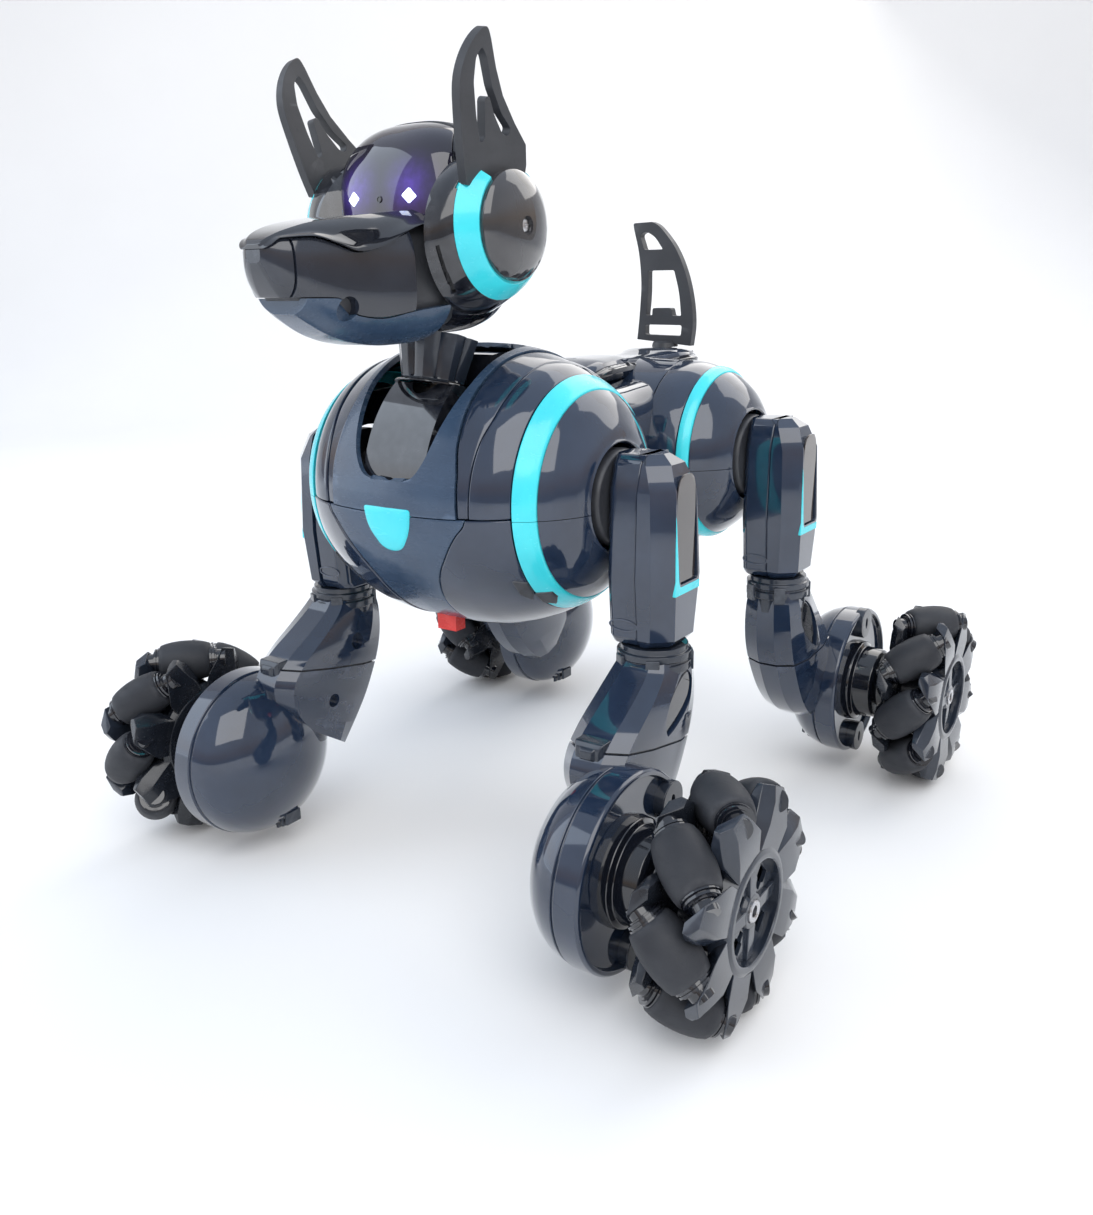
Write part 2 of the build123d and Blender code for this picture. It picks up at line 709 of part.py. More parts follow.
def wheel_motor(wheel_y):
    """Motor can with its nose and the shaft that carries the wheel."""
    with BuildPart() as motor:
        for start, length, radius in ((66, 26, 12), (92, 8.5, 8), (100.5, 12, AXLE_RADIUS)):
            with BuildSketch(side_plane(start)):
                with Locations((wheel_y, WHEEL_RADIUS)):
                    Circle(radius)
            extrude(amount=length)
    return motor.part


def lower_leg(hip_y, wheel_y, shin):
    """Left lower leg shell with the collar that swivels in the upper leg."""
    with BuildPart() as leg:
        with BuildSketch(side_plane(LEG_INNER_X + 0.5)):
            with BuildLine():
                Spline(*[(hip_y + y, z) for y, z in shin])
                Line((hip_y + shin[-1][0], shin[-1][1]), (hip_y + shin[0][0], shin[0][1]))
            make_face()
        extrude(amount=LEG_OUTER_X - LEG_INNER_X)
        with BuildSketch(Plane.XY.offset(COLLAR_HEIGHT)):
            with Locations((LEG_X, hip_y)):
                Circle(COLLAR_RADIUS)
        extrude(amount=LEG_BOTTOM - 0.3 - COLLAR_HEIGHT)
        with BuildSketch(Plane.XY.offset(LEG_BOTTOM - 1)):
            with Locations((LEG_X, hip_y)):
                Circle(SPIGOT_RADIUS)
        extrude(amount=14)
        add(housing_form(wheel_y), mode=Mode.SUBTRACT)
    return leg.part.solids().sort_by(SortBy.VOLUME)[-1]


def wheel_plane(wheel_y):
    """Plane of the middle of the wheel, local X towards the front of the dog, local Z outwards."""
    return Plane(origin=(WHEEL_MIDDLE_X, wheel_y, WHEEL_RADIUS), x_dir=(0, -1, 0), z_dir=(1, 0, 0))


with BuildPart() as roller:
    with BuildSketch(Plane.XZ):
        with BuildLine():
            Polyline(
                (ROLLER_RADIUS - 1.9, ROLLER_HALF_LENGTH - 2.4),
                (5.0, ROLLER_HALF_LENGTH - 2.4),
                (5.0, ROLLER_HALF_LENGTH),
                (PIN_RADIUS + RUNNING_FIT, ROLLER_HALF_LENGTH),
                (PIN_RADIUS + RUNNING_FIT, -ROLLER_HALF_LENGTH),
                (5.0, -ROLLER_HALF_LENGTH),
                (5.0, -ROLLER_HALF_LENGTH + 2.4),
                (ROLLER_RADIUS - 1.9, -ROLLER_HALF_LENGTH + 2.4),
            )
            ThreePointArc(
                (ROLLER_RADIUS - 1.9, -ROLLER_HALF_LENGTH + 2.4),
                (ROLLER_RADIUS, 0),
                (ROLLER_RADIUS - 1.9, ROLLER_HALF_LENGTH - 2.4),
            )
        make_face()
    revolve(axis=Axis.Z)

LUG_START = ROLLER_HALF_LENGTH + 0.2
LUG_THICKNESS = 2.6

with BuildPart() as lug:
    with BuildSketch(Plane.XY.offset(LUG_START)):
        with Locations((-3, 0)):
            Rectangle(12, 9)
    extrude(amount=LUG_THICKNESS)

with BuildPart() as pin:
    with BuildSketch(Plane.XY.offset(-LUG_START - 1)):
        Circle(PIN_RADIUS)
    extrude(amount=2 * LUG_START + 1)


def wheel_parts(wheel_y, slant):
    """Rollers, hub and star plate of a left wheel; slant is the lean of the rollers about their radius."""
    plane = wheel_plane(wheel_y)
    with BuildPart(plane) as rollers:
        with PolarLocations(ROLLER_CIRCLE, ROLLER_COUNT):
            add(roller.part, rotation=(slant, 0, 0))
    with BuildPart(plane) as hub:
        with PolarLocations(ROLLER_CIRCLE, ROLLER_COUNT):
            add(lug.part, rotation=(180 + slant, 0, 0))
            add(pin.part, rotation=(slant, 0, 0))
        with BuildSketch(side_plane(WHEEL_INNER_X)):
            with Locations((wheel_y, WHEEL_RADIUS)):
                Circle(24)
        extrude(amount=3)
        with BuildSketch(side_plane(WHEEL_INNER_X)):
            with Locations((wheel_y, WHEEL_RADIUS)):
                Circle(12)
        extrude(amount=WHEEL_OUTER_X - 4.4 - WHEEL_INNER_X)
        with BuildSketch(side_plane(WHEEL_INNER_X - 1)):
            with Locations((wheel_y, WHEEL_RADIUS)):
                Circle(AXLE_RADIUS + RUNNING_FIT)
        extrude(amount=13, mode=Mode.SUBTRACT)
        with BuildSketch(side_plane(WHEEL_INNER_X)):
            with Locations((wheel_y, WHEEL_RADIUS)):
                Circle(WHEEL_RADIUS)
        extrude(amount=WHEEL_OUTER_X - WHEEL_INNER_X, mode=Mode.INTERSECT)
    with BuildPart(plane) as star:
        with PolarLocations(ROLLER_CIRCLE, ROLLER_COUNT):
            add(lug.part, rotation=(slant, 0, 0))
        with BuildSketch(side_plane(WHEEL_OUTER_X - 4.2)):
            with Locations((wheel_y, WHEEL_RADIUS)):
                Circle(23.5)
        extrude(amount=3.4)
        with BuildSketch(side_plane(WHEEL_OUTER_X - 4.2)):
            with Locations((wheel_y, WHEEL_RADIUS)):
                Circle(WHEEL_RADIUS - 1)
        extrude(amount=4.2, mode=Mode.INTERSECT)
    return {"rollers": rollers.part, "wheel_hub": hub.part, "star_plate": star.part}


LEGS = {
    "front": (FRONT_HIP_Y, FRONT_WHEEL_Y, FRONT_SHIN, -ROLLER_SLANT),
    "hind": (HIND_HIP_Y, HIND_WHEEL_Y, HIND_SHIN, ROLLER_SLANT),
}

for end, (hip_y, wheel_y, shin, slant) in LEGS.items():
    pieces = {
        "upper_leg": upper_leg(hip_y),
        "leg_trim": leg_trim(hip_y),
        "lower_leg": lower_leg(hip_y, wheel_y, shin),
        "wheel_housing": wheel_housing(wheel_y),
        "wheel_motor": wheel_motor(wheel_y),
    }
    pieces.update(wheel_parts(wheel_y, slant))
    for name, piece in pieces.items():
        save(piece, f"{end}_left_{name}")
        save(mirror(piece, about=Plane.YZ), f"{end}_right_{name}")
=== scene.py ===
"""Looks of the robot dog: glossy shells, cyan trims, lit eyes, rubber rollers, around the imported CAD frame.

Metres, +Z up, the dog faces -Y and its left side is +X. Left pieces are modelled and mirrored for the right.
"""
from math import acos, cos, degrees, pi, radians, sin

import bmesh
import bpy
from mathutils import Matrix, Vector


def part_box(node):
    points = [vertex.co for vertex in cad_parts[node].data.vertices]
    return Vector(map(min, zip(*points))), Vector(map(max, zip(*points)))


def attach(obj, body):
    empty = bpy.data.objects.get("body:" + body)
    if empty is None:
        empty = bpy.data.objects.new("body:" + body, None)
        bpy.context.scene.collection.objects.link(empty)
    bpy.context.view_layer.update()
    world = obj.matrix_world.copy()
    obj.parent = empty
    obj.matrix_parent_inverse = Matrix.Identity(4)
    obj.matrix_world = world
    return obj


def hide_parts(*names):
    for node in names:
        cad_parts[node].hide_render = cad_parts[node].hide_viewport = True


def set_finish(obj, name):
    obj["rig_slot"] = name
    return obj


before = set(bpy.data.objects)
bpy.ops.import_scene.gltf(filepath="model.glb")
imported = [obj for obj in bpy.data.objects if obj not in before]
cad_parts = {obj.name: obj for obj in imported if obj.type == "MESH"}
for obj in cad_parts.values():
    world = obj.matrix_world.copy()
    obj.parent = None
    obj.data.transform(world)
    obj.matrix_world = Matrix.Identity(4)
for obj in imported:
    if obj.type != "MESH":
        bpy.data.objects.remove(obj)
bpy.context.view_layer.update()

MM = 0.001
HIP_Z = 0.1407
FRONT_HIP_Y = -0.0493
HIND_HIP_Y = 0.0493
SEAM_Z = 0.138


# ---------------------------------------------------------------- small helpers

def mm(*values):
    """A point given in millimetres."""
    return Vector(values) * MM


def smoothstep(low, high, value):
    t = min(1.0, max(0.0, (value - low) / (high - low)))
    return t * t * (3 - 2 * t)


def interpolate(table, x):
    """Smooth value at x through the (x, value) pairs of a table, monotone between them."""
    if x <= table[0][0]:
        return table[0][1]
    if x >= table[-1][0]:
        return table[-1][1]
    count = len(table)
    slopes = [(table[i + 1][1] - table[i][1]) / (table[i + 1][0] - table[i][0]) for i in range(count - 1)]
    tangents = [slopes[0]]
    for i in range(1, count - 1):
        a, b = slopes[i - 1], slopes[i]
        tangents.append(0.0 if a * b <= 0 else 2 * a * b / (a + b))
    tangents.append(slopes[-1])
    i = next(k for k in range(count - 1) if x <= table[k + 1][0])
    width = table[i + 1][0] - table[i][0]
    t = (x - table[i][0]) / width
    return (
        table[i][1] * (1 + 2 * t) * (1 - t) ** 2
        + tangents[i] * width * t * (1 - t) ** 2
        + table[i + 1][1] * t * t * (3 - 2 * t)
        + tangents[i + 1] * width * t * t * (t - 1)
    )


def spline_2d(points, steps=8, closed=True):
    """Points along a smooth Catmull-Rom line through a list of 2-D points."""
    count = len(points)
    result = []
    spans = count if closed else count - 1
    for i in range(spans):
        if closed:
            p0, p1, p2, p3 = (points[(i + k) % count] for k in (-1, 0, 1, 2))
        else:
            p0, p1 = points[max(i - 1, 0)], points[i]
            p2, p3 = points[i + 1], points[min(i + 2, count - 1)]
        for s in range(steps):
            t = s / steps
            result.append(tuple(
                0.5 * (2 * b + (c - a) * t + (2 * a - 5 * b + 4 * c - d) * t * t + (3 * b - a - 3 * c + d) * t ** 3)
                for a, b, c, d in zip(p0, p1, p2, p3)
            ))
    if not closed:
        result.append(tuple(points[-1]))
    return result


def rounded(points, radius, steps=5):
    """Closed polygon with its corners rounded; radius is one number or one per corner."""
    count = len(points)
    result = []
    for i in range(count):
        r = radius[i] if isinstance(radius, (list, tuple)) else radius
        here = Vector(points[i])
        a = Vector(points[i - 1]) - here
        b = Vector(points[(i + 1) % count]) - here
        reach = min(r, a.length * 0.48, b.length * 0.48)
        start, end = here + a.normalized() * reach, here + b.normalized() * reach
        for s in range(steps + 1):
            t = s / steps
            result.append(tuple(start * (1 - t) ** 2 + here * 2 * t * (1 - t) + end * t * t))
    return result


# ---------------------------------------------------------------- mesh builders

def finish_mesh(name, bm, material, body, slot, bevel=0.0, bevel_segments=2, smooth_angle=35, subdivide=0,
                replaces=()):
    """Turn a bmesh into a piece with its material, shading, edge rounding and body."""
    bmesh.ops.remove_doubles(bm, verts=bm.verts, dist=1e-6)
    bmesh.ops.recalc_face_normals(bm, faces=bm.faces)
    mesh = bpy.data.meshes.new(name)
    bm.to_mesh(mesh)
    bm.free()
    obj = bpy.data.objects.new(name, mesh)
    bpy.context.scene.collection.objects.link(obj)
    mesh.materials.append(material)
    dress(obj, bevel, bevel_segments, smooth_angle, subdivide)
    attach(obj, body)
    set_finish(obj, slot)
    if replaces:
        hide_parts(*replaces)
    return obj


def dress(obj, bevel=0.0, bevel_segments=2, smooth_angle=35, subdivide=0):
    """Modifiers for edge rounding and shading."""
    for polygon in obj.data.polygons:
        polygon.use_smooth = True
    if subdivide:
        modifier = obj.modifiers.new("subdivision", "SUBSURF")
        modifier.levels = modifier.render_levels = subdivide
    if bevel:
        modifier = obj.modifiers.new("bevel", "BEVEL")
        modifier.width = bevel
        modifier.segments = bevel_segments
        modifier.limit_method = "ANGLE"
        modifier.angle_limit = radians(smooth_angle)
        modifier.harden_normals = False
        modifier.use_clamp_overlap = True
        modifier = obj.modifiers.new("shading", "WEIGHTED_NORMAL")
        modifier.keep_sharp = True
    if not subdivide:
        bm = bmesh.new()
        bm.from_mesh(obj.data)
        for edge in bm.edges:
            if len(edge.link_faces) == 2 and edge.calc_face_angle(0) > radians(smooth_angle):
                edge.smooth = bool(bevel)
        bm.to_mesh(obj.data)
        bm.free()


def mirror_piece(obj, name, body, replaces=()):
    """Right-hand copy of a left-hand piece."""
    mesh = obj.data.copy()
    mesh.name = name
    copy = obj.copy()
    copy.name = name
    copy.data = mesh
    for key in [k for k in copy.keys() if k.startswith("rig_")]:
        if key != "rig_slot":
            del copy[key]
    copy.parent = None
    copy.matrix_world = Matrix.Identity(4)
    mesh.transform(Matrix.Scale(-1, 4, (1, 0, 0)))
    mesh.flip_normals()
    bpy.context.scene.collection.objects.link(copy)
    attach(copy, body)
    if replaces:
        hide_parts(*replaces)
    return copy


def skin_rings(bm, rings, close_ring=True, cap_start=False, cap_end=False):
    """Quads between rings of points that all have the same count."""
    rows = [[bm.verts.new(p) for p in ring] for ring in rings]
    for a, b in zip(rows, rows[1:]):
        count = len(a)
        for i in range(count if close_ring else count - 1):
            j = (i + 1) % count
            bm.faces.new((a[i], a[j], b[j], b[i]))
    if cap_start:
        bm.faces.new(list(reversed(rows[0])))
    if cap_end:
        bm.faces.new(rows[-1])
    return rows


def prism(bm, outline, place, depth, holes=()):
    """Straight-sided solid: 2-D outline (and holes) put in space by place(u, v, w) for w from 0 to depth."""
    loops = [list(outline)] + [list(h) for h in holes]
    flat = bmesh.new()
    edges = []
    for loop in loops:
        verts = [flat.verts.new((u, v, 0)) for u, v in loop]
        for i in range(len(verts)):
            edges.append(flat.edges.new((verts[i], verts[(i + 1) % len(verts)])))
    bmesh.ops.triangle_fill(flat, use_beauty=True, use_dissolve=False, edges=edges)
    flat.verts.index_update()
    bottom = [bm.verts.new(place(v.co.x, v.co.y, 0)) for v in flat.verts]
    top = [bm.verts.new(place(v.co.x, v.co.y, depth)) for v in flat.verts]
    for face in flat.faces:
        ids = [v.index for v in face.verts]
        bm.faces.new([top[i] for i in ids])
        bm.faces.new([bottom[i] for i in reversed(ids)])
    for edge in flat.edges:
        if len(edge.link_faces) == 1:
            a, b = (v.index for v in edge.verts)
            bm.faces.new((bottom[a], bottom[b], top[b], top[a]))
    flat.free()


def sheet_shell(bm, grid, thickness, centre_of, close_u=False):
    """Closed thin shell whose outer face is a grid of points; it is thickened towards centre_of(point)."""
    rows, columns = len(grid), len(grid[0])

    def point(i, j):
        if close_u:
            i %= rows
        return Vector(grid[min(max(i, 0), rows - 1)][min(max(j, 0), columns - 1)])

    outer, inner = [], []
    for i in range(rows):
        outer_row, inner_row = [], []
        for j in range(columns):
            here = point(i, j)
            along = point(i + 1, j) - point(i - 1, j)
            across = point(i, j + 1) - point(i, j - 1)
            normal = along.cross(across)
            if normal.length < 1e-12:
                normal = here - Vector(centre_of(here))
            normal.normalize()
            if normal.dot(here - Vector(centre_of(here))) < 0:
                normal.negate()
            outer_row.append(bm.verts.new(here))
            inner_row.append(bm.verts.new(here - normal * thickness))
        outer.append(outer_row)
        inner.append(inner_row)
    last = rows if close_u else rows - 1
    for i in range(last):
        m = (i + 1) % rows
        for j in range(columns - 1):
            bm.faces.new((outer[i][j], outer[m][j], outer[m][j + 1], outer[i][j + 1]))
            bm.faces.new((inner[i][j], inner[i][j + 1], inner[m][j + 1], inner[m][j]))
        for j in (0, columns - 1):
            bm.faces.new((outer[i][j], inner[i][j], inner[m][j], outer[m][j]))
    if not close_u:
        for i in (0, rows - 1):
            for j in range(columns - 1):
                bm.faces.new((outer[i][j], outer[i][j + 1], inner[i][j + 1], inner[i][j]))


# ---------------------------------------------------------------- materials

class Nodes:
    """Small wrapper that adds and links shader nodes."""

    def __init__(self, name):
        self.material = bpy.data.materials.new(name)
        self.material.use_nodes = True
        self.tree = self.material.node_tree
        self.shader = self.tree.nodes["Principled BSDF"]
        self.place = self.tree.nodes.new("ShaderNodeTexCoord").outputs["Object"]

    def link(self, output, target):
        self.tree.links.new(output, target)

    def noise(self, scale, detail=4.0, rough=0.5, stretch=None):
        node = self.tree.nodes.new("ShaderNodeTexNoise")
        node.inputs["Scale"].default_value = scale
        node.inputs["Detail"].default_value = detail
        node.inputs["Roughness"].default_value = rough
        source = self.place
        if stretch:
            mapping = self.tree.nodes.new("ShaderNodeMapping")
            mapping.inputs["Scale"].default_value = stretch
            self.link(source, mapping.inputs["Vector"])
            source = mapping.outputs["Vector"]
        self.link(source, node.inputs["Vector"])
        return node.outputs["Fac"]

    def ramp(self, value, low, high, at_low=0.0, at_high=1.0):
        node = self.tree.nodes.new("ShaderNodeMapRange")
        node.inputs["From Min"].default_value = low
        node.inputs["From Max"].default_value = high
        node.inputs["To Min"].default_value = at_low
        node.inputs["To Max"].default_value = at_high
        self.link(value, node.inputs["Value"])
        return node.outputs["Result"]

    def math(self, operation, a, b):
        node = self.tree.nodes.new("ShaderNodeMath")
        node.operation = operation
        for socket, value in zip(node.inputs, (a, b)):
            if hasattr(value, "links"):
                self.link(value, socket)
            else:
                socket.default_value = value
        return node.outputs[0]

    def blend(self, factor, first, second):
        node = self.tree.nodes.new("ShaderNodeMix")
        node.data_type = "RGBA"
        self.link(factor, node.inputs[0])
        for socket, value in ((node.inputs[6], first), (node.inputs[7], second)):
            if hasattr(value, "links"):
                self.link(value, socket)
            else:
                socket.default_value = (*value, 1)
        return node.outputs[2]

    def edge_wear(self, low=0.53, high=0.62):
        geometry = self.tree.nodes.new("ShaderNodeNewGeometry")
        return self.ramp(geometry.outputs["Pointiness"], low, high)

    def bump(self, height, strength, distance):
        node = self.tree.nodes.new("ShaderNodeBump")
        node.inputs["Strength"].default_value = strength
        node.inputs["Distance"].default_value = distance
        self.link(height, node.inputs["Height"])
        self.link(node.outputs["Normal"], self.shader.inputs["Normal"])


def moulded(name, color, lighter, roughness, spread, grain=(1500, 0.06, 0.00003), wear=0.25, coat=0.0,
            specular=0.5):
    """Injection-moulded plastic: cloudy colour, uneven gloss, faint surface ripple and paler rubbed edges."""
    n = Nodes(name)
    cloud = n.ramp(n.noise(55, 3), 0.35, 0.7)
    base = n.blend(cloud, color, lighter)
    rubbed = n.math("MULTIPLY", n.edge_wear(), n.ramp(n.noise(320, 5), 0.4, 0.65, 0.0, wear))
    pale = tuple(min(1.0, c * 2.2 + 0.06) for c in lighter)
    n.link(n.blend(rubbed, base, pale), n.shader.inputs["Base Color"])
    smears = n.noise(130, 6, 0.6, (1, 1, 2.5))
    scratches = n.ramp(n.noise(900, 2, 0.5, (0.15, 1, 1)), 0.62, 0.72, 0.0, spread)
    uneven = n.ramp(smears, 0.35, 0.75, roughness - spread * 0.5, roughness + spread)
    n.link(n.math("ADD", uneven, scratches), n.shader.inputs["Roughness"])
    n.shader.inputs["Specular IOR Level"].default_value = specular
    n.shader.inputs["Coat Weight"].default_value = coat
    n.shader.inputs["Coat Roughness"].default_value = 0.04
    scale, strength, distance = grain
    n.bump(n.noise(scale, 3), strength, distance)
    return n.material


SHELL_SATIN = moulded("shell_satin", (0.028, 0.054, 0.100), (0.042, 0.076, 0.132), 0.26, 0.06,
                      grain=(2600, 0.12, 0.00004), coat=0.25)
SHELL_GLOSS = moulded("shell_gloss", (0.012, 0.022, 0.046), (0.020, 0.034, 0.066), 0.07, 0.03,
                      grain=(220, 0.05, 0.00012), coat=0.8)
GLOSS_BLACK = moulded("gloss_black", (0.006, 0.007, 0.011), (0.010, 0.012, 0.018), 0.055, 0.03,
                      grain=(200, 0.05, 0.00012), coat=0.8)
CYAN = moulded("cyan", (0.040, 0.66, 0.76), (0.060, 0.76, 0.84), 0.24, 0.05,
               grain=(1800, 0.08, 0.00003), wear=0.15, coat=0.3)
MATTE_BLACK = moulded("matte_black", (0.030, 0.032, 0.038), (0.046, 0.049, 0.056), 0.44, 0.10,
                      grain=(3200, 0.30, 0.00005), wear=0.5)
WHEEL_PLASTIC = moulded("wheel_plastic", (0.014, 0.019, 0.030), (0.028, 0.036, 0.052), 0.16, 0.07,
                        grain=(1400, 0.10, 0.00004), wear=0.4, coat=0.3)
RUBBER = moulded("rubber", (0.022, 0.024, 0.030), (0.036, 0.039, 0.046), 0.58, 0.10,
                 grain=(2600, 0.45, 0.00008), wear=0.6, specular=0.35)
RED = moulded("red", (0.62, 0.015, 0.012), (0.74, 0.03, 0.02), 0.25, 0.06)
INNER_GREY = moulded("inner_grey", (0.13, 0.13, 0.14), (0.19, 0.19, 0.20), 0.42, 0.08)
GREEN_WRAP = moulded("green_wrap", (0.10, 0.52, 0.12), (0.16, 0.62, 0.18), 0.22, 0.08)
BOARD = moulded("board", (0.012, 0.12, 0.05), (0.02, 0.19, 0.08), 0.35, 0.08)


def metal(name, color, roughness):
    """Plated steel with fine brushing."""
    n = Nodes(name)
    brushed = n.noise(600, 5, 0.6, (0.08, 1, 1))
    n.link(n.blend(n.ramp(brushed, 0.3, 0.7), tuple(c * 0.8 for c in color), color), n.shader.inputs["Base Color"])
    n.link(n.ramp(brushed, 0.3, 0.7, roughness - 0.08, roughness + 0.12), n.shader.inputs["Roughness"])
    n.shader.inputs["Metallic"].default_value = 1.0
    n.bump(brushed, 0.12, 0.00003)
    return n.material


STEEL = metal("steel", (0.60, 0.60, 0.62), 0.28)


def visor_material():
    """Smoked glossy face panel with a violet glow painted into it as emission around each eye, standing in for the
    light of the eyes behind it.
    """
    n = Nodes("visor")
    low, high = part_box("eye_lights")
    # painted glow: emission rings on the visor around each eye, in place of the eye light shining through the panel
    glow = None
    for x in (low.x + 0.0025, high.x - 0.0025):
        distance = n.tree.nodes.new("ShaderNodeVectorMath")
        distance.operation = "DISTANCE"
        n.link(n.place, distance.inputs[0])
        distance.inputs[1].default_value = (x, low.y, (low.z + high.z) / 2)
        ring = n.ramp(distance.outputs["Value"], 0.002, 0.013, 1.0, 0.0)
        ring = n.math("POWER", ring, 2.2)
        glow = ring if glow is None else n.math("MAXIMUM", glow, ring)
    uneven = n.ramp(n.noise(420, 4), 0.3, 0.7, 0.55, 1.0)
    glow = n.math("MULTIPLY", glow, uneven)
    cloud = n.ramp(n.noise(60, 3), 0.35, 0.7)
    n.link(n.blend(cloud, (0.010, 0.008, 0.018), (0.016, 0.013, 0.030)), n.shader.inputs["Base Color"])
    n.link(n.ramp(n.noise(160, 5), 0.3, 0.75, 0.03, 0.075), n.shader.inputs["Roughness"])
    n.shader.inputs["Coat Weight"].default_value = 0.8
    n.shader.inputs["Emission Color"].default_value = (0.16, 0.07, 0.75, 1)
    n.link(n.math("MULTIPLY", glow, 0.55), n.shader.inputs["Emission Strength"])
    n.bump(n.noise(180, 2), 0.04, 0.0001)
    return n.material


def eye_material():
    """Lit lens, mottled between blue and white."""
    n = Nodes("eye_light")
    cells = n.ramp(n.noise(900, 2), 0.3, 0.7)
    n.link(n.blend(cells, (0.55, 0.66, 1.0), (0.85, 0.90, 1.0)), n.shader.inputs["Base Color"])
    n.link(n.blend(cells, (0.45, 0.55, 1.0), (0.80, 0.86, 1.0)), n.shader.inputs["Emission Color"])
    n.shader.inputs["Emission Strength"].default_value = 2.6
    n.link(n.ramp(n.noise(500, 3), 0.3, 0.7, 0.15, 0.3), n.shader.inputs["Roughness"])
    return n.material


VISOR = visor_material()
EYE = eye_material()


# ---------------------------------------------------------------- torso

FRONT_RADII = [(0, 47.0), (10, 46.7), (20, 45.6), (28, 43.5), (36, 40.2), (42.3, 36.5)]
HIND_RADII = [(0, 36.2), (12, 36.0), (24, 35.5), (34, 34.3), (42.3, 32.3)]
FRONT_DOME = [(47.7, 33.0), (50, 30.7), (52, 28.0), (55, 22.6), (56.4, 18.6)]
HIND_DOME = [(45.4, 30.9), (48, 29.2), (52, 25.6), (55, 21.4), (56.4, 18.6)]
RING_SPAN = {"front": (41.3, 47.4), "hind": (40.8, 45.1)}
SHELL = 1.8
GAP = 0.18                       # half of the groove between two panels, in millimetres


def barrel_point(hip_y, x, phi, radius):
    """Point on a barrel: phi in degrees from straight up, forwards positive; lengths in mm."""
    a = radians(phi)
    return Vector((x * MM, hip_y - radius * MM * sin(a), HIP_Z + radius * MM * cos(a)))


def add_panel(bm, hip_y, radii, x_low, x_high, phi_low, phi_high, rows=90, columns=14, lift=0.0, crown=0.0):
    """Open surface of one barrel panel between two x lines, each a number or a function of phi."""
    low = x_low if callable(x_low) else (lambda phi: x_low)
    high = x_high if callable(x_high) else (lambda phi: x_high)
    grid = []
    for i in range(rows + 1):
        phi = phi_low + (phi_high - phi_low) * i / rows
        a, b = low(phi), high(phi)
        row = []
        for j in range(columns + 1):
            s = j / columns
            x = a + (b - a) * s
            radius = interpolate(radii, abs(x)) + lift + crown * sin(pi * s)
            row.append(bm.verts.new(barrel_point(hip_y, x, phi, radius)))
        grid.append(row)
    for a, b in zip(grid, grid[1:]):
        for j in range(columns):
            bm.faces.new((a[j], a[j + 1], b[j + 1], b[j]))


def thicken(bm, thickness, centre_of):
    """Give an open surface thickness towards centre_of(point), with walls along its edges."""
    bmesh.ops.remove_doubles(bm, verts=bm.verts, dist=2e-6)
    bmesh.ops.dissolve_degenerate(bm, dist=1e-6, edges=bm.edges)
    bmesh.ops.recalc_face_normals(bm, faces=bm.faces)
    bm.normal_update()
    facing = sum((v.co - centre_of(v.co)).dot(v.normal) for v in bm.verts)
    if facing < 0:
        bmesh.ops.reverse_faces(bm, faces=bm.faces)
        bm.normal_update()
    outer = list(bm.verts)
    faces = list(bm.faces)
    rim = [e for e in bm.edges if len(e.link_faces) == 1]
    twin = {v: bm.verts.new(v.co - v.normal * thickness) for v in outer}
    for face in faces:
        bm.faces.new([twin[v] for v in reversed(face.verts)])
    for edge in rim:
        a, b = edge.verts
        bm.faces.new((a, b, twin[b], twin[a]))


def barrel_axis(hip_y):
    """Nearest point on a hip axle, towards which a barrel panel is thickened."""
    return lambda point: Vector((point.x * 0.4, hip_y, HIP_Z))


def seam_angle(radius):
    return degrees(acos((SEAM_Z - HIP_Z) / (radius * MM)))


def slot_half_width(phi):
    """Half width of the neck slot in the chest, zero past its rounded ends."""
    if phi >= 80.6 or phi <= -9.5:
        return 0.0
    sides = interpolate([(-9.4, 9), (-8, 15), (-4, 19), (10, 20.6), (35, 20.2), (47, 18.8), (59, 16.8),
                         (69.5, 14.6), (76, 12.0), (79, 9.6), (80.4, 6.5)], phi)
    return sides


def chest_band_edge(phi):
    return interpolate([(-60, 25), (0, 24), (25, 23.2), (45, 23.0), (64, 23.9), (77, 25.3), (94, 25.6)], phi)


def step_edge(phi):
    return interpolate([(-60, 31), (0, 32.5), (27, 32.5), (48, 32.0), (62, 30.4), (76, 29.6), (94, 29.2)], phi)


def lower_panel_edge(phi):
    return interpolate([(93, 28.4), (96, 27.6), (100, 24.9), (109, 20.0), (121, 14.4), (132, 12.0), (145, 11.1),
                        (170, 10.8), (230, 10.8)], phi)


def both_sides(add, *args, **kwargs):
    """Call a panel maker for the left side and again with its x lines mirrored."""
    bm, hip_y, radii, x_low, x_high = args[:5]
    add(*args, **kwargs)
    flip = lambda f: (lambda phi: -f(phi)) if callable(f) else -f
    add(bm, hip_y, radii, flip(x_low), flip(x_high), *args[5:], **kwargs)


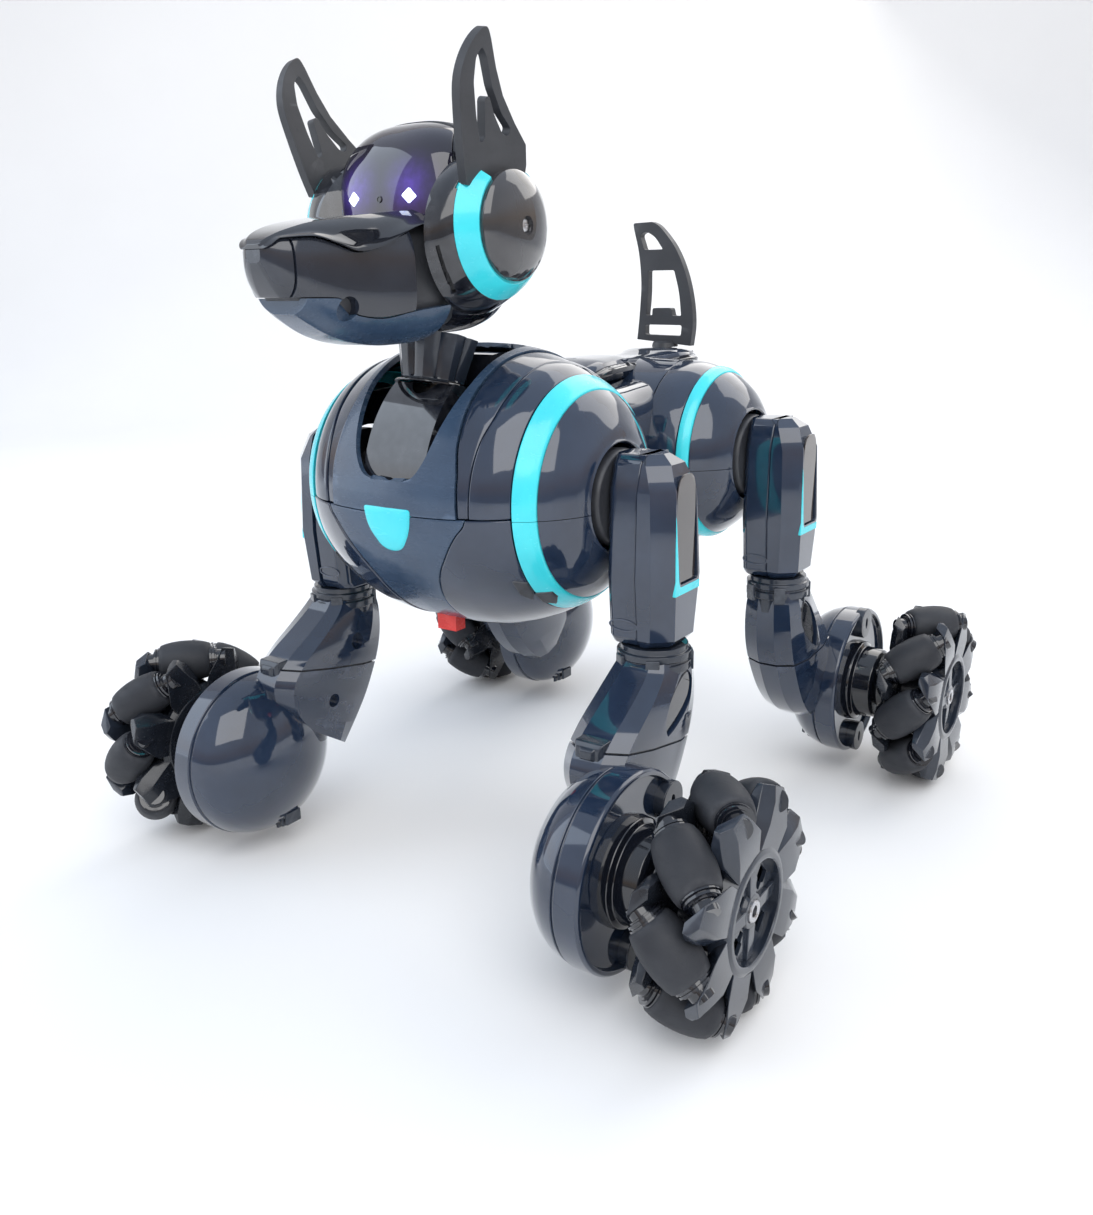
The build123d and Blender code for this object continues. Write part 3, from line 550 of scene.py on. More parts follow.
def build_chest():
    seam = seam_angle(47.0)
    gap = degrees(GAP / 47.0)

    # satin band across the chest, with the slot for the neck
    bm = bmesh.new()
    rows = 120
    phis = sorted(set([-70 + (seam - gap + 70) * i / rows for i in range(rows + 1)]
                      + [80.6, 80.59, 80.4, 80.1, 79.6, 79.0, 78.0, -9.5, -9.49, -9.2, -8.8, -8.2, -7.4]))
    for side in (-1, 1):
        grid = []
        for phi in phis:
            inner = slot_half_width(phi) if -9.5 < phi < 80.6 else 0.0
            outer = chest_band_edge(phi) - GAP
            row = []
            for j in range(13):
                x = inner + (outer - inner) * j / 12
                row.append(bm.verts.new(barrel_point(FRONT_HIP_Y, side * x, phi, interpolate(FRONT_RADII, x))))
            grid.append(row)
        for a, b in zip(grid, grid[1:]):
            for j in range(12):
                bm.faces.new((a[j], a[j + 1], b[j + 1], b[j]))
    thicken(bm, SHELL * MM, barrel_axis(FRONT_HIP_Y))
    finish_mesh("chest_band_upper", bm, SHELL_SATIN, "torso", "body_shell", bevel=0.0005, bevel_segments=3,
                replaces=("body_shell_upper",))

    # lower chest down to the belly
    bm = bmesh.new()
    add_panel(bm, FRONT_HIP_Y, FRONT_RADII, lambda p: -lower_panel_edge(p) + GAP,
              lambda p: lower_panel_edge(p) - GAP,
              seam + gap, 235, rows=130, columns=40)
    thicken(bm, SHELL * MM, barrel_axis(FRONT_HIP_Y))
    finish_mesh("chest_band_lower", bm, SHELL_SATIN, "torso", "body_shell", bevel=0.0004,
                replaces=("body_shell_lower",))

    # glossy step beside the band, and the side panels out to the ring
    bm = bmesh.new()
    both_sides(add_panel, bm, FRONT_HIP_Y, FRONT_RADII, lambda p: chest_band_edge(p) + GAP,
               lambda p: step_edge(p) - GAP, -70, seam - gap, rows=100, columns=6, lift=-0.5)
    thicken(bm, SHELL * MM, barrel_axis(FRONT_HIP_Y))
    finish_mesh("chest_steps", bm, SHELL_GLOSS, "torso", "body_shell", bevel=0.0004)

    bm = bmesh.new()
    both_sides(add_panel, bm, FRONT_HIP_Y, FRONT_RADII, lambda p: step_edge(p) + GAP, 41.1,
               -110, seam - gap, rows=110, columns=10, crown=0.5)
    thicken(bm, SHELL * MM, barrel_axis(FRONT_HIP_Y))
    finish_mesh("chest_sides_upper", bm, SHELL_GLOSS, "torso", "body_shell", bevel=0.0005, bevel_segments=3)

    bm = bmesh.new()
    both_sides(add_panel, bm, FRONT_HIP_Y, FRONT_RADII, lambda p: lower_panel_edge(p) + GAP, 41.1,
               seam + gap, 250, rows=130, columns=22, lift=0.35)
    thicken(bm, SHELL * MM, barrel_axis(FRONT_HIP_Y))
    finish_mesh("chest_sides_lower", bm, SHELL_GLOSS, "torso", "body_shell", bevel=0.0006, bevel_segments=3)


def add_profile(bm, hip_y, profile, side, upper, rows=64):
    """Half of a ring-shaped form around a hip axle, above or below the level seam; profile is (x, radius) in mm."""
    grid = []
    for i in range(rows + 1):
        row = []
        for x, radius in profile:
            seam = seam_angle(radius) - degrees(GAP * 0.5 / radius)
            low, high = (-seam, seam) if upper else (360 - seam, seam)
            if not upper:
                low, high = seam + degrees(GAP / radius), 360 - seam - degrees(GAP / radius)
            row.append(bm.verts.new(barrel_point(hip_y, side * x, low + (high - low) * i / rows, radius)))
        grid.append(row)
    for a, b in zip(grid, grid[1:]):
        for j in range(len(profile) - 1):
            bm.faces.new((a[j], a[j + 1], b[j + 1], b[j]))


def build_hip_domes():
    """Domes outside the coloured rings, split at the level seam, rolled inwards around the leg opening."""
    for end, hip_y, dome in (("front", FRONT_HIP_Y, FRONT_DOME), ("hind", HIND_HIP_Y, HIND_DOME)):
        profile = spline_2d(dome + [(56.8, 17.7), (55.6, 17.1), (50.0, 17.0)], steps=6, closed=False)
        for part, upper in (("upper", True), ("lower", False)):
            bm = bmesh.new()
            for side in (-1, 1):
                add_profile(bm, hip_y, profile, side, upper)
            thicken(bm, 1.2 * MM, lambda point: Vector((point.x * 0.75, hip_y, HIP_Z)))
            finish_mesh(f"{end}_domes_{part}", bm, SHELL_GLOSS, "torso", "body_shell", bevel=0.0002)


def barrel_radius(end, x):
    """Radius of a barrel and its dome at x, in mm."""
    table = FRONT_RADII + FRONT_DOME if end == "front" else HIND_RADII + HIND_DOME
    return interpolate(table, x)


def build_hip_rings():
    for end, hip_y in (("front", FRONT_HIP_Y), ("hind", HIND_HIP_Y)):
        start, stop = RING_SPAN[end]
        for part, upper in (("upper", True), ("lower", False)):
            bm = bmesh.new()
            for side in (-1, 1):
                section = [(start, barrel_radius(end, start) - 1.2), (start + 0.1, barrel_radius(end, start) + 0.6),
                           (start + 1.6, barrel_radius(end, start + 1.6) + 0.75),
                           ((start + stop) / 2, barrel_radius(end, (start + stop) / 2) + 0.8),
                           (stop - 1.4, barrel_radius(end, stop - 1.4) + 0.7),
                           (stop, barrel_radius(end, stop) + 0.35), (stop, barrel_radius(end, stop) - 1.2)]
                add_profile(bm, hip_y, rounded_line(section, 0.5), side, upper)
            thicken(bm, 0.8 * MM, lambda point: Vector((point.x, hip_y, HIP_Z)))
            replaced = {"upper": (f"{end}_hip_rings",), "lower": ()}[part]
            finish_mesh(f"{end}_ring_pair_{part}", bm, CYAN, "torso", "cyan_trim", replaces=replaced)


def rounded_line(points, radius, steps=4):
    """Open line with its inner corners rounded."""
    loop = rounded(points, [0.0001] + [radius] * (len(points) - 2) + [0.0001], steps)
    return [tuple(points[0])] + loop[steps + 1:-(steps + 1)] + [tuple(points[-1])]


def build_rump():
    """Hind barrel panels."""
    seam = seam_angle(36.0)
    gap = degrees(GAP / 36)
    bm = bmesh.new()
    add_panel(bm, HIND_HIP_Y, HIND_RADII, -27, 27, -seam + gap, seam - gap, rows=90, columns=24, lift=-0.3)
    thicken(bm, SHELL * MM, barrel_axis(HIND_HIP_Y))
    finish_mesh("rump_upper", bm, SHELL_GLOSS, "torso", "body_shell", bevel=0.0004)
    bm = bmesh.new()
    add_panel(bm, HIND_HIP_Y, HIND_RADII, -27, 27, seam + gap, 360 - seam - gap, rows=90, columns=24, lift=-0.3)
    thicken(bm, SHELL * MM, barrel_axis(HIND_HIP_Y))
    finish_mesh("rump_lower", bm, SHELL_GLOSS, "torso", "body_shell", bevel=0.0004)
    for part, low, high in (("upper", -seam + gap, seam - gap), ("lower", seam + gap, 360 - seam - gap)):
        bm = bmesh.new()
        both_sides(add_panel, bm, HIND_HIP_Y, HIND_RADII, 27 + 2 * GAP, 40.6, low, high, rows=90, columns=9,
                   crown=0.4)
        thicken(bm, SHELL * MM, barrel_axis(HIND_HIP_Y))
        finish_mesh(f"rump_sides_{part}", bm, SHELL_GLOSS, "torso", "body_shell", bevel=0.0005, bevel_segments=3)


def waist_section(y, inset=0.0):
    """Rounded-box section of the bridge between the barrels, in mm: half width, lowest and highest."""
    half = interpolate([(-30, 34.0), (-8, 31.3), (12, 30.0), (30, 31.3), (45, 33.0)], y) - inset
    low = interpolate([(-30, 101), (-8, 103.2), (20, 103.2), (45, 104.5)], y) + inset
    high = interpolate([(-30, 175), (-8, 171), (15, 169.5), (45, 171)], y) - inset
    return half, low, high


def build_waist():
    """Upper and lower skins of the bridge, meeting at the level seam."""
    for part in ("upper", "lower"):
        bm = bmesh.new()
        grid = []
        for k in range(41):
            y = -30 + 75 * k / 40
            half, low, high = waist_section(y)
            middle = 138 + (GAP if part == "upper" else -GAP)
            far = high if part == "upper" else low
            row = []
            for j in range(49):
                t = -1 + 2 * j / 48
                a = t * pi / 2
                power = 0.42
                x = half * (abs(sin(a)) ** power) * (1 if a > 0 else -1)
                z = middle + (far - middle) * (cos(a) ** power if abs(t) < 1 else 0.0)
                row.append(bm.verts.new(mm(x, y, z)))
            grid.append(row)
        for a, b in zip(grid, grid[1:]):
            for j in range(48):
                bm.faces.new((a[j], a[j + 1], b[j + 1], b[j]))
        thicken(bm, SHELL * MM, lambda point: Vector((0, point.y, HIP_Z)))
        finish_mesh(f"waist_{part}", bm, SHELL_GLOSS, "torso", "body_shell", bevel=0.0004, smooth_angle=50)


def build_badge():
    """Cyan badge set into the chest, a rounded triangle with its point down."""
    outline = rounded([(-9.6, 90.8), (9.6, 90.8), (8.6, 99.5), (3.6, 108.4), (-3.6, 108.4), (-8.6, 99.5)],
                      [1.4, 1.4, 5, 3.6, 3.6, 5], 6)
    bm = bmesh.new()
    centre = (0, 98)
    rings = []
    for scale, lift in ((1.0, -1.0), (1.0, 0.15), (0.965, 0.42), (0.9, 0.55), (0.6, 0.62), (0.3, 0.64)):
        ring = []
        for x, phi in outline:
            px, pp = centre[0] + (x - centre[0]) * scale, centre[1] + (phi - centre[1]) * scale
            ring.append(barrel_point(FRONT_HIP_Y, px, pp, interpolate(FRONT_RADII, abs(px)) + lift))
        rings.append(ring)
    skin_rings(bm, rings, cap_start=True, cap_end=True)
    finish_mesh("badge", bm, CYAN, "torso", "cyan_trim", replaces=("chest_badge",))


build_chest()
build_hip_domes()
build_hip_rings()
build_rump()
build_waist()
build_badge()


# ---------------------------------------------------------------- shared tools for legs, wheels and head

def turned(bm, profile, origin, direction, segments=40):
    """Surface of revolution of (along, radius) points in mm about any line; points on the line close the ends."""
    origin, direction = Vector(origin), Vector(direction).normalized()
    side = direction.orthogonal().normalized()
    other = direction.cross(side)
    rows = []
    for along, radius in profile:
        middle = origin + direction * along * MM
        if radius < 1e-6:
            rows.append([bm.verts.new(middle)])
            continue
        ring = []
        for k in range(segments):
            a = 2 * pi * k / segments
            ring.append(bm.verts.new(middle + (side * cos(a) + other * sin(a)) * radius * MM))
        rows.append(ring)
    for a, b in zip(rows, rows[1:]):
        for k in range(segments):
            m = (k + 1) % segments
            if len(a) == 1 and len(b) == 1:
                break
            if len(a) == 1:
                bm.faces.new((a[0], b[m], b[k]))
            elif len(b) == 1:
                bm.faces.new((a[k], a[m], b[0]))
            else:
                bm.faces.new((a[k], a[m], b[m], b[k]))


def hull(bm, points):
    """Faceted solid around a set of points in mm."""
    part = bmesh.new()
    for p in points:
        part.verts.new(Vector(p) * MM)
    result = bmesh.ops.convex_hull(part, input=part.verts)
    spare = [v for v in set(result["geom_interior"] + result["geom_unused"]) if isinstance(v, bmesh.types.BMVert)]
    bmesh.ops.delete(part, geom=spare, context="VERTS")
    bmesh.ops.dissolve_limit(part, angle_limit=radians(4), verts=part.verts, edges=part.edges)
    copy = bpy.data.meshes.new("hull")
    part.to_mesh(copy)
    part.free()
    bm.from_mesh(copy)
    bpy.data.meshes.remove(copy)


def carve(bm, cutters):
    """Cut closed solids out of a closed solid; returns the new mesh."""
    scene = bpy.context.scene
    bmesh.ops.remove_doubles(bm, verts=bm.verts, dist=1e-6)
    bmesh.ops.recalc_face_normals(bm, faces=bm.faces)
    objects = []
    for index, part in enumerate([bm] + list(cutters)):
        bmesh.ops.recalc_face_normals(part, faces=part.faces)
        mesh = bpy.data.meshes.new(f"solid_{index}")
        part.to_mesh(mesh)
        part.free()
        obj = bpy.data.objects.new(f"solid_{index}", mesh)
        scene.collection.objects.link(obj)
        objects.append(obj)
    body = objects[0]
    for cutter in objects[1:]:
        modifier = body.modifiers.new("cut", "BOOLEAN")
        modifier.operation = "DIFFERENCE"
        modifier.solver = "EXACT"
        modifier.object = cutter
    result = bmesh.new()
    result.from_object(body, bpy.context.evaluated_depsgraph_get())
    for obj in objects:
        mesh = obj.data
        bpy.data.objects.remove(obj)
        bpy.data.meshes.remove(mesh)
    return result


def side_prism(outline, x_low, x_high):
    """Solid across the dog from a closed (y, z) outline in mm."""
    bm = bmesh.new()
    prism(bm, outline, lambda u, v, w: mm(x_low, u, v) + Vector((w, 0, 0)), (x_high - x_low) * MM)
    return bm


def x_drill(x_low, x_high, y, z, radius, segments=32):
    bm = bmesh.new()
    turned(bm, [(0, 0), (0, radius), (x_high - x_low, radius), (x_high - x_low, 0)], mm(x_low, y, z), (1, 0, 0),
           segments)
    return bm


def add_pair(end, name, bm, material, part, slot, replaces=(), **look):
    """A piece on the left leg of one end and its mirror image on the right leg."""
    left = finish_mesh(f"{end}_left_{name}_look", bm, material, f"{end}_left_{part}", slot,
                       replaces=[f"{end}_left_{node}" for node in replaces], **look)
    mirror_piece(left, f"{end}_right_{name}_look", f"{end}_right_{part}",
                 [f"{end}_right_{node}" for node in replaces])


# ---------------------------------------------------------------- legs

HIP_MM = 140.7
LEG_LEVELS = [(95.6, 9.2, 77.5), (98.4, 11.4, 80.0), (118, 13.0, 81.0), (145, 12.0, 80.0), (153, 9.5, 77.0),
              (155.8, 7.0, 73.0)]
LEG_AXIS_X = 69.3


def leg_level(z, column):
    """Half depth (column 1) or outer x (column 2) of the upper leg at height z."""
    for a, b in zip(LEG_LEVELS, LEG_LEVELS[1:]):
        if z <= b[0]:
            return a[column] + (b[column] - a[column]) * (z - a[0]) / (b[0] - a[0])
    return LEG_LEVELS[-1][column]


def build_upper_leg(end, hip):
    block = bmesh.new()
    rings = []
    for z, depth, outer in LEG_LEVELS:
        d = depth - 0.7
        rings.append([mm(x, hip + y, z) for x, y in (
            (57.6, 3 - d), (60.2, -d), (69.3, -d), (69.3, d), (60.2, d), (57.6, d - 3))])
    skin_rings(block, rings, cap_start=True, cap_end=True)
    add_pair(end, "leg_inner_half", block, SHELL_GLOSS, "thigh", "body_shell", ["upper_leg"],
             bevel=0.0009, bevel_segments=3, smooth_angle=25)

    outer_half = bmesh.new()
    rings = []
    for z, depth, outer in LEG_LEVELS:
        rings.append([mm(x, hip + y, z) for x, y in (
            (69.6, -depth), (outer - 6.0, -depth), (outer, 5.2 - depth),
            (outer, depth - 5.2), (outer - 6.0, depth), (69.6, depth))])
    skin_rings(outer_half, rings, cap_start=True, cap_end=True)
    window = rounded([(hip - 4.9, 116.4), (hip + 6.6, 116.4), (hip + 6.2, 147), (hip + 3.6, 150.6),
                      (hip - 3.6, 150.6), (hip - 6.0, 146), (hip - 6.3, 132)], [1.4, 1.0, 4, 3, 3, 4, 3])
    trim = [(hip - 6.9, 138.5), (hip - 7.5, 128), (hip - 8.1, 113.2), (hip + 7.9, 113.2), (hip + 7.9, 115.7),
            (hip - 4.6, 115.7), (hip - 5.5, 117.5)]
    outer_half = carve(outer_half, [
        side_prism(window, 79.3, 90),
        side_prism([(y, z) for y, z in trim], 80.1, 90),
    ])
    add_pair(end, "leg_outer_half", outer_half, SHELL_GLOSS, "thigh", "body_shell",
             bevel=0.0007, bevel_segments=3, smooth_angle=25)

    pane = bmesh.new()
    small = [(hip + (y - hip) * 0.94, 133 + (z - 133) * 0.975) for y, z in window]
    prism(pane, small, lambda u, v, w: mm(78.9 + 0.9 * cos((u - hip) / 9), u, v) + Vector((w, 0, 0)), 0.0004)
    add_pair(end, "leg_pane", pane, SMOKED, "thigh", "gloss_black", bevel=0.0002, smooth_angle=30)

    strip = bmesh.new()
    prism(strip, trim, lambda u, v, w: mm(min(leg_level(v, 2), 80.8) - 1.0, u, v) + Vector((w, 0, 0)), 0.00125)
    add_pair(end, "leg_strip", strip, CYAN, "thigh", "cyan_trim", ["leg_trim"], bevel=0.0003, smooth_angle=30)

    disc = bmesh.new()
    turned(disc, [(49.6, 0), (49.6, 14.5), (50.4, 15.6), (56.6, 15.6), (57.9, 14.8), (57.9, 0)],
           mm(0, hip, HIP_MM), (1, 0, 0), 64)
    add_pair(end, "hip_disc", disc, MATTE_BLACK, "thigh", "matte_black", bevel=0.0004)

    mark = bmesh.new()
    oval = [(5.2 * cos(2 * pi * k / 40), 2.1 * sin(2 * pi * k / 40)) for k in range(40)]
    inner = [(u * 0.88, v * 0.76) for u, v in oval]
    prism(mark, oval, lambda u, v, w: mm(64.4 + u, hip + 0.72 - leg_level(102.6 + v, 1),
                                         102.6 + v) - Vector((0, w, 0)),
          0.0003, [inner])
    add_pair(end, "leg_oval", mark, SHELL_GLOSS, "thigh", "body_shell", smooth_angle=30)


def build_collar(end, hip):
    bm = bmesh.new()
    turned(bm, [(82, 0), (82, 11.2), (87.3, 11.2), (87.5, 12), (90.0, 12), (90.2, 11.2), (91.0, 11.2), (91.2, 12),
                (93.3, 12), (93.5, 10.9), (95.3, 10.9), (95.3, 0)], mm(LEG_AXIS_X, hip, 0), (0, 0, 1), 72)
    for x, y in ((5.4, -10.6), (-6.6, -10.0), (9.8, 6.6), (-8.2, 8.4)):
        lug = Vector((x, y, 0)).normalized()
        across = Vector((-lug.y, lug.x, 0))
        hull(bm, [Vector((LEG_AXIS_X, hip, z)) + lug * r + across * w
                  for z in (86.2, 92.4) for r in (10.6, 12.55) for w in (-2.2, 2.2)])
    add_pair(end, "collar", bm, WHEEL_PLASTIC, "shin", "wheel_plastic", bevel=0.00025, smooth_angle=30)


SHIN_ROWS = {
    "front": [(9.6, 92.5, -9.8, 92.5, 9.0), (13.7, 88, -11.7, 86, 11.0), (22.7, 82, -12.1, 77, 12.0),
              (33.7, 75.5, -10.8, 68, 12.3), (41.2, 69, -7.3, 59, 12.2), (42.7, 62, -2.3, 50, 11.8),
              (38.7, 54, 3.7, 42, 11.0), (30.7, 46, 10.7, 33, 9.5)],
    "hind": [(9.6, 92.5, -9.8, 92.5, 9.0), (14, 86, -11, 85, 11.0), (21, 77.5, -10.8, 75, 12.0),
             (31, 67.5, -9, 65, 12.3), (40, 58.5, -4, 54, 12.2), (47, 51, 3, 43, 11.8),
             (47, 43, 12, 34.5, 11.0), (42, 36, 22, 29, 9.5)],
}
SHIN_OUTLINE = [(1, -0.42), (0.8, -0.85), (0.3, -1), (-0.45, -1), (-0.85, -0.8), (-1, -0.3),
                (-1, 0.3), (-0.85, 0.8), (-0.45, 1), (0.3, 1), (0.8, 0.85), (1, 0.42)]
SHIN_MIDDLE_X = 69.5
SHIN_STEPS = 6


def build_lower_leg(end, hip):
    towards = -1 if end == "front" else 1
    rows = spline_2d(SHIN_ROWS[end], SHIN_STEPS, closed=False)

    def place(row, u, v):
        a_s, a_z, b_s, b_z, half = row
        s = (a_s + b_s) / 2 + (a_s - b_s) / 2 * u
        z = (a_z + b_z) / 2 + (a_z - b_z) / 2 * u
        return mm(SHIN_MIDDLE_X + half * v, hip + towards * s, z)

    def row_at(t):
        i = min(int(t * SHIN_STEPS), len(rows) - 2)
        f = t * SHIN_STEPS - i
        return tuple(a + (b - a) * f for a, b in zip(rows[i], rows[i + 1]))

    def loft(t_low, t_high, grow=0.0):
        bm = bmesh.new()
        count = max(2, round((t_high - t_low) * SHIN_STEPS))
        rings = []
        for k in range(count + 1):
            row = row_at(t_low + (t_high - t_low) * k / count)
            rings.append([place(row, u * (1 + grow), v * (1 + grow)) for u, v in SHIN_OUTLINE])
        skin_rings(bm, rings, cap_start=True, cap_end=True)
        return bm

    def leaf(t_low, t_high, middle, width, lean=0.0):
        outline = []
        for k in range(25):
            f = k / 24
            w = width * sin(pi * f ** 0.75) ** 0.8
            outline.append((t_low + (t_high - t_low) * f, middle + lean * f - w))
        back = [(t, 2 * (middle + lean * (t - t_low) / (t_high - t_low)) - u) for t, u in reversed(outline[1:-1])]
        points = []
        for t, u in outline + back:
            p = place(row_at(t), u, 1)
            points.append((p.y / MM, p.z / MM))
        return points

    seam = 3.6 if end == "front" else 3.5
    upper = carve(loft(0, seam - 0.04), [
        side_prism(leaf(0.9, seam - 0.3, -0.12, 0.40, 0.1), SHIN_MIDDLE_X + 10.6, 95),
        x_drill(50, SHIN_MIDDLE_X - 9.6, hip + towards * 6, 75, 3.2),
    ])
    add_pair(end, "lower_leg_top", upper, SHELL_GLOSS, "shin", "body_shell", ["lower_leg"],
             bevel=0.0007, bevel_segments=3, smooth_angle=17)
    lower = carve(loft(seam + 0.04, 7), [x_drill(50, SHIN_MIDDLE_X - 9.0, hip + towards * 20, 55, 2.6)])
    add_pair(end, "lower_leg_foot", lower, SHELL_GLOSS, "shin", "body_shell",
             bevel=0.0007, bevel_segments=3, smooth_angle=17)
    core = loft(seam - 0.3, seam + 0.3, -0.06)
    add_pair(end, "lower_leg_core", core, MATTE_BLACK, "shin", "matte_black")

    insert = bmesh.new()
    leaf_line = leaf(1.0, seam - 0.4, -0.12, 0.33, 0.1)
    prism(insert, leaf_line, lambda u, v, w: mm(SHIN_MIDDLE_X + 10.4, u, v) + Vector((w, 0, 0)), 0.0009)
    add_pair(end, "lower_leg_leaf", insert, GLOSS_BLACK, "shin", "gloss_black", bevel=0.0004, bevel_segments=3)

    latch = bmesh.new()
    here = place(row_at(seam), 0.9, 0) / MM
    for size, x_low, x_high in ((1.0, 64.5, 74.5), (0.62, 66.5, 72.5)):
        reach = 4.4 if size == 1.0 else 5.4
        hull(latch, [Vector((x, here.y + towards * du, here.z + dz * size))
                     for x in (x_low, x_high) for du in (-3, reach - 1.2) for dz in (-3.6, 3.4)]
             + [Vector((x, here.y + towards * reach, here.z + dz * size * 0.7))
                for x in (x_low + 1, x_high - 1) for dz in (-3, 2.6)])
    add_pair(end, "lower_leg_latch", latch, WHEEL_PLASTIC, "shin", "wheel_plastic", bevel=0.0004)


def build_housing(end, wheel):
    bm = bmesh.new()
    origin = mm(0, wheel, 37.5)
    turned(bm, [(58.6, 0), (58.8, 6), (59.6, 11), (61.2, 16), (63.6, 21), (66.6, 25.2), (70, 28.2), (73.5, 30.0),
                (77.4, 31.0), (77.7, 30.2), (78.3, 30.2), (78.6, 31.4), (86.0, 31.4), (86.9, 30.7), (86.9, 29.4),
                (85.0, 29.0), (84.6, 22), (84.6, 0)], origin, (1, 0, 0), 128)
    add_pair(end, "housing", bm, SHELL_GLOSS, "shin", "body_shell", ["wheel_housing"], bevel=0.0003,
             smooth_angle=28)

    boss = bmesh.new()
    turned(boss, [(84.2, 0), (84.2, 17.5), (87.5, 17.0), (88.2, 15.2), (95.5, 14.6), (96.6, 13.4), (96.8, 9.4),
                  (100.2, 9.0), (100.8, 8.2), (100.8, 0)], origin, (1, 0, 0), 72)
    add_pair(end, "motor_boss", boss, GLOSS_BLACK, "shin", "gloss_black", ["wheel_motor"], bevel=0.0004,
             smooth_angle=28)

    tabs = bmesh.new()
    for angle in (90, 270) if end == "hind" else (35, 270):
        a = radians(angle)
        y, z = 26.0 * cos(a), 26.0 * sin(a)
        outline = [(wheel + y + 6.4 * cos(2 * pi * k / 36),
                    37.5 + z + 6.4 * sin(2 * pi * k / 36)) for k in range(36)]
        slot_hole = [(wheel + y + 1.0 * cos(2 * pi * k / 20),
                      37.5 + z + 2.2 * sin(2 * pi * k / 20)) for k in range(20)]
        prism(tabs, outline, lambda u, v, w: mm(84.4, u, v) + Vector((w, 0, 0)), 0.0038, [slot_hole])
    add_pair(end, "housing_tabs", tabs, WHEEL_PLASTIC, "shin", "wheel_plastic", bevel=0.0004)

    fin = bmesh.new()
    out = 1 if end == "hind" else -1
    for index in range(3):
        x = 64.2 + 2.6 * index
        hull(fin, [Vector((px, wheel - out * 3 + out * dy, 37.5 - dz)) for px, dz in
                   ((x, 22.5 + 1.4 * index), (x + 1.4, 22.5 + 1.4 * index), (x, 27.2 + 1.2 * index),
                    (x + 1.4, 27.6 + 1.2 * index))
                   for dy in (-3.5, 3.5)])
    add_pair(end, "housing_fins", fin, WHEEL_PLASTIC, "shin", "wheel_plastic", bevel=0.0003)


# ---------------------------------------------------------------- wheels

WHEEL_X = 114.7
WHEEL_Z = 37.5
ROLLER_CIRCLE = 29.6
ROLLERS = 8
RUBBER_LINE = [(-9.4, 0), (-9.4, 5.9), (-9.0, 6.5), (-7.2, 7.1), (-4.6, 7.6), (-2, 7.86), (0, 7.9),
               (2, 7.86), (4.6, 7.6), (7.2, 7.1), (9.0, 6.5), (9.4, 5.9), (9.4, 0)]
SLEEVE_LINE = [(9.2, 0), (9.2, 5.7), (10.0, 5.7), (10.1, 5.0), (10.4, 5.0), (10.5, 5.4), (11.2, 5.4), (11.3, 4.4),
               (11.7, 4.4), (11.8, 3.6), (14.9, 3.4), (14.9, 0)]
ARM_POINTS = [  # (outwards along the arm, round the wheel, out from the middle of the wheel)
    (16.5, -6.5, 11.2), (16.5, 6.5, 11.2), (16.5, 6.5, 6.5), (16.5, -4.0, 6.5),
    (24.5, -8.0, 12.0), (24.5, 6.0, 12.0), (24.5, 9.0, 8.6), (24.5, 9.0, 6.2), (24.5, 0.5, 6.2),
    (31.0, -4.6, 11.7), (31.0, 4.2, 11.4), (31.0, 8.4, 8.4), (31.0, 8.4, 5.4), (31.0, 3.2, 5.2),
    (35.4, -2.6, 10.6), (35.4, 3.6, 10.2), (35.0, 6.4, 7.6), (35.0, 6.0, 5.8), (34.6, 3.4, 5.6),
]


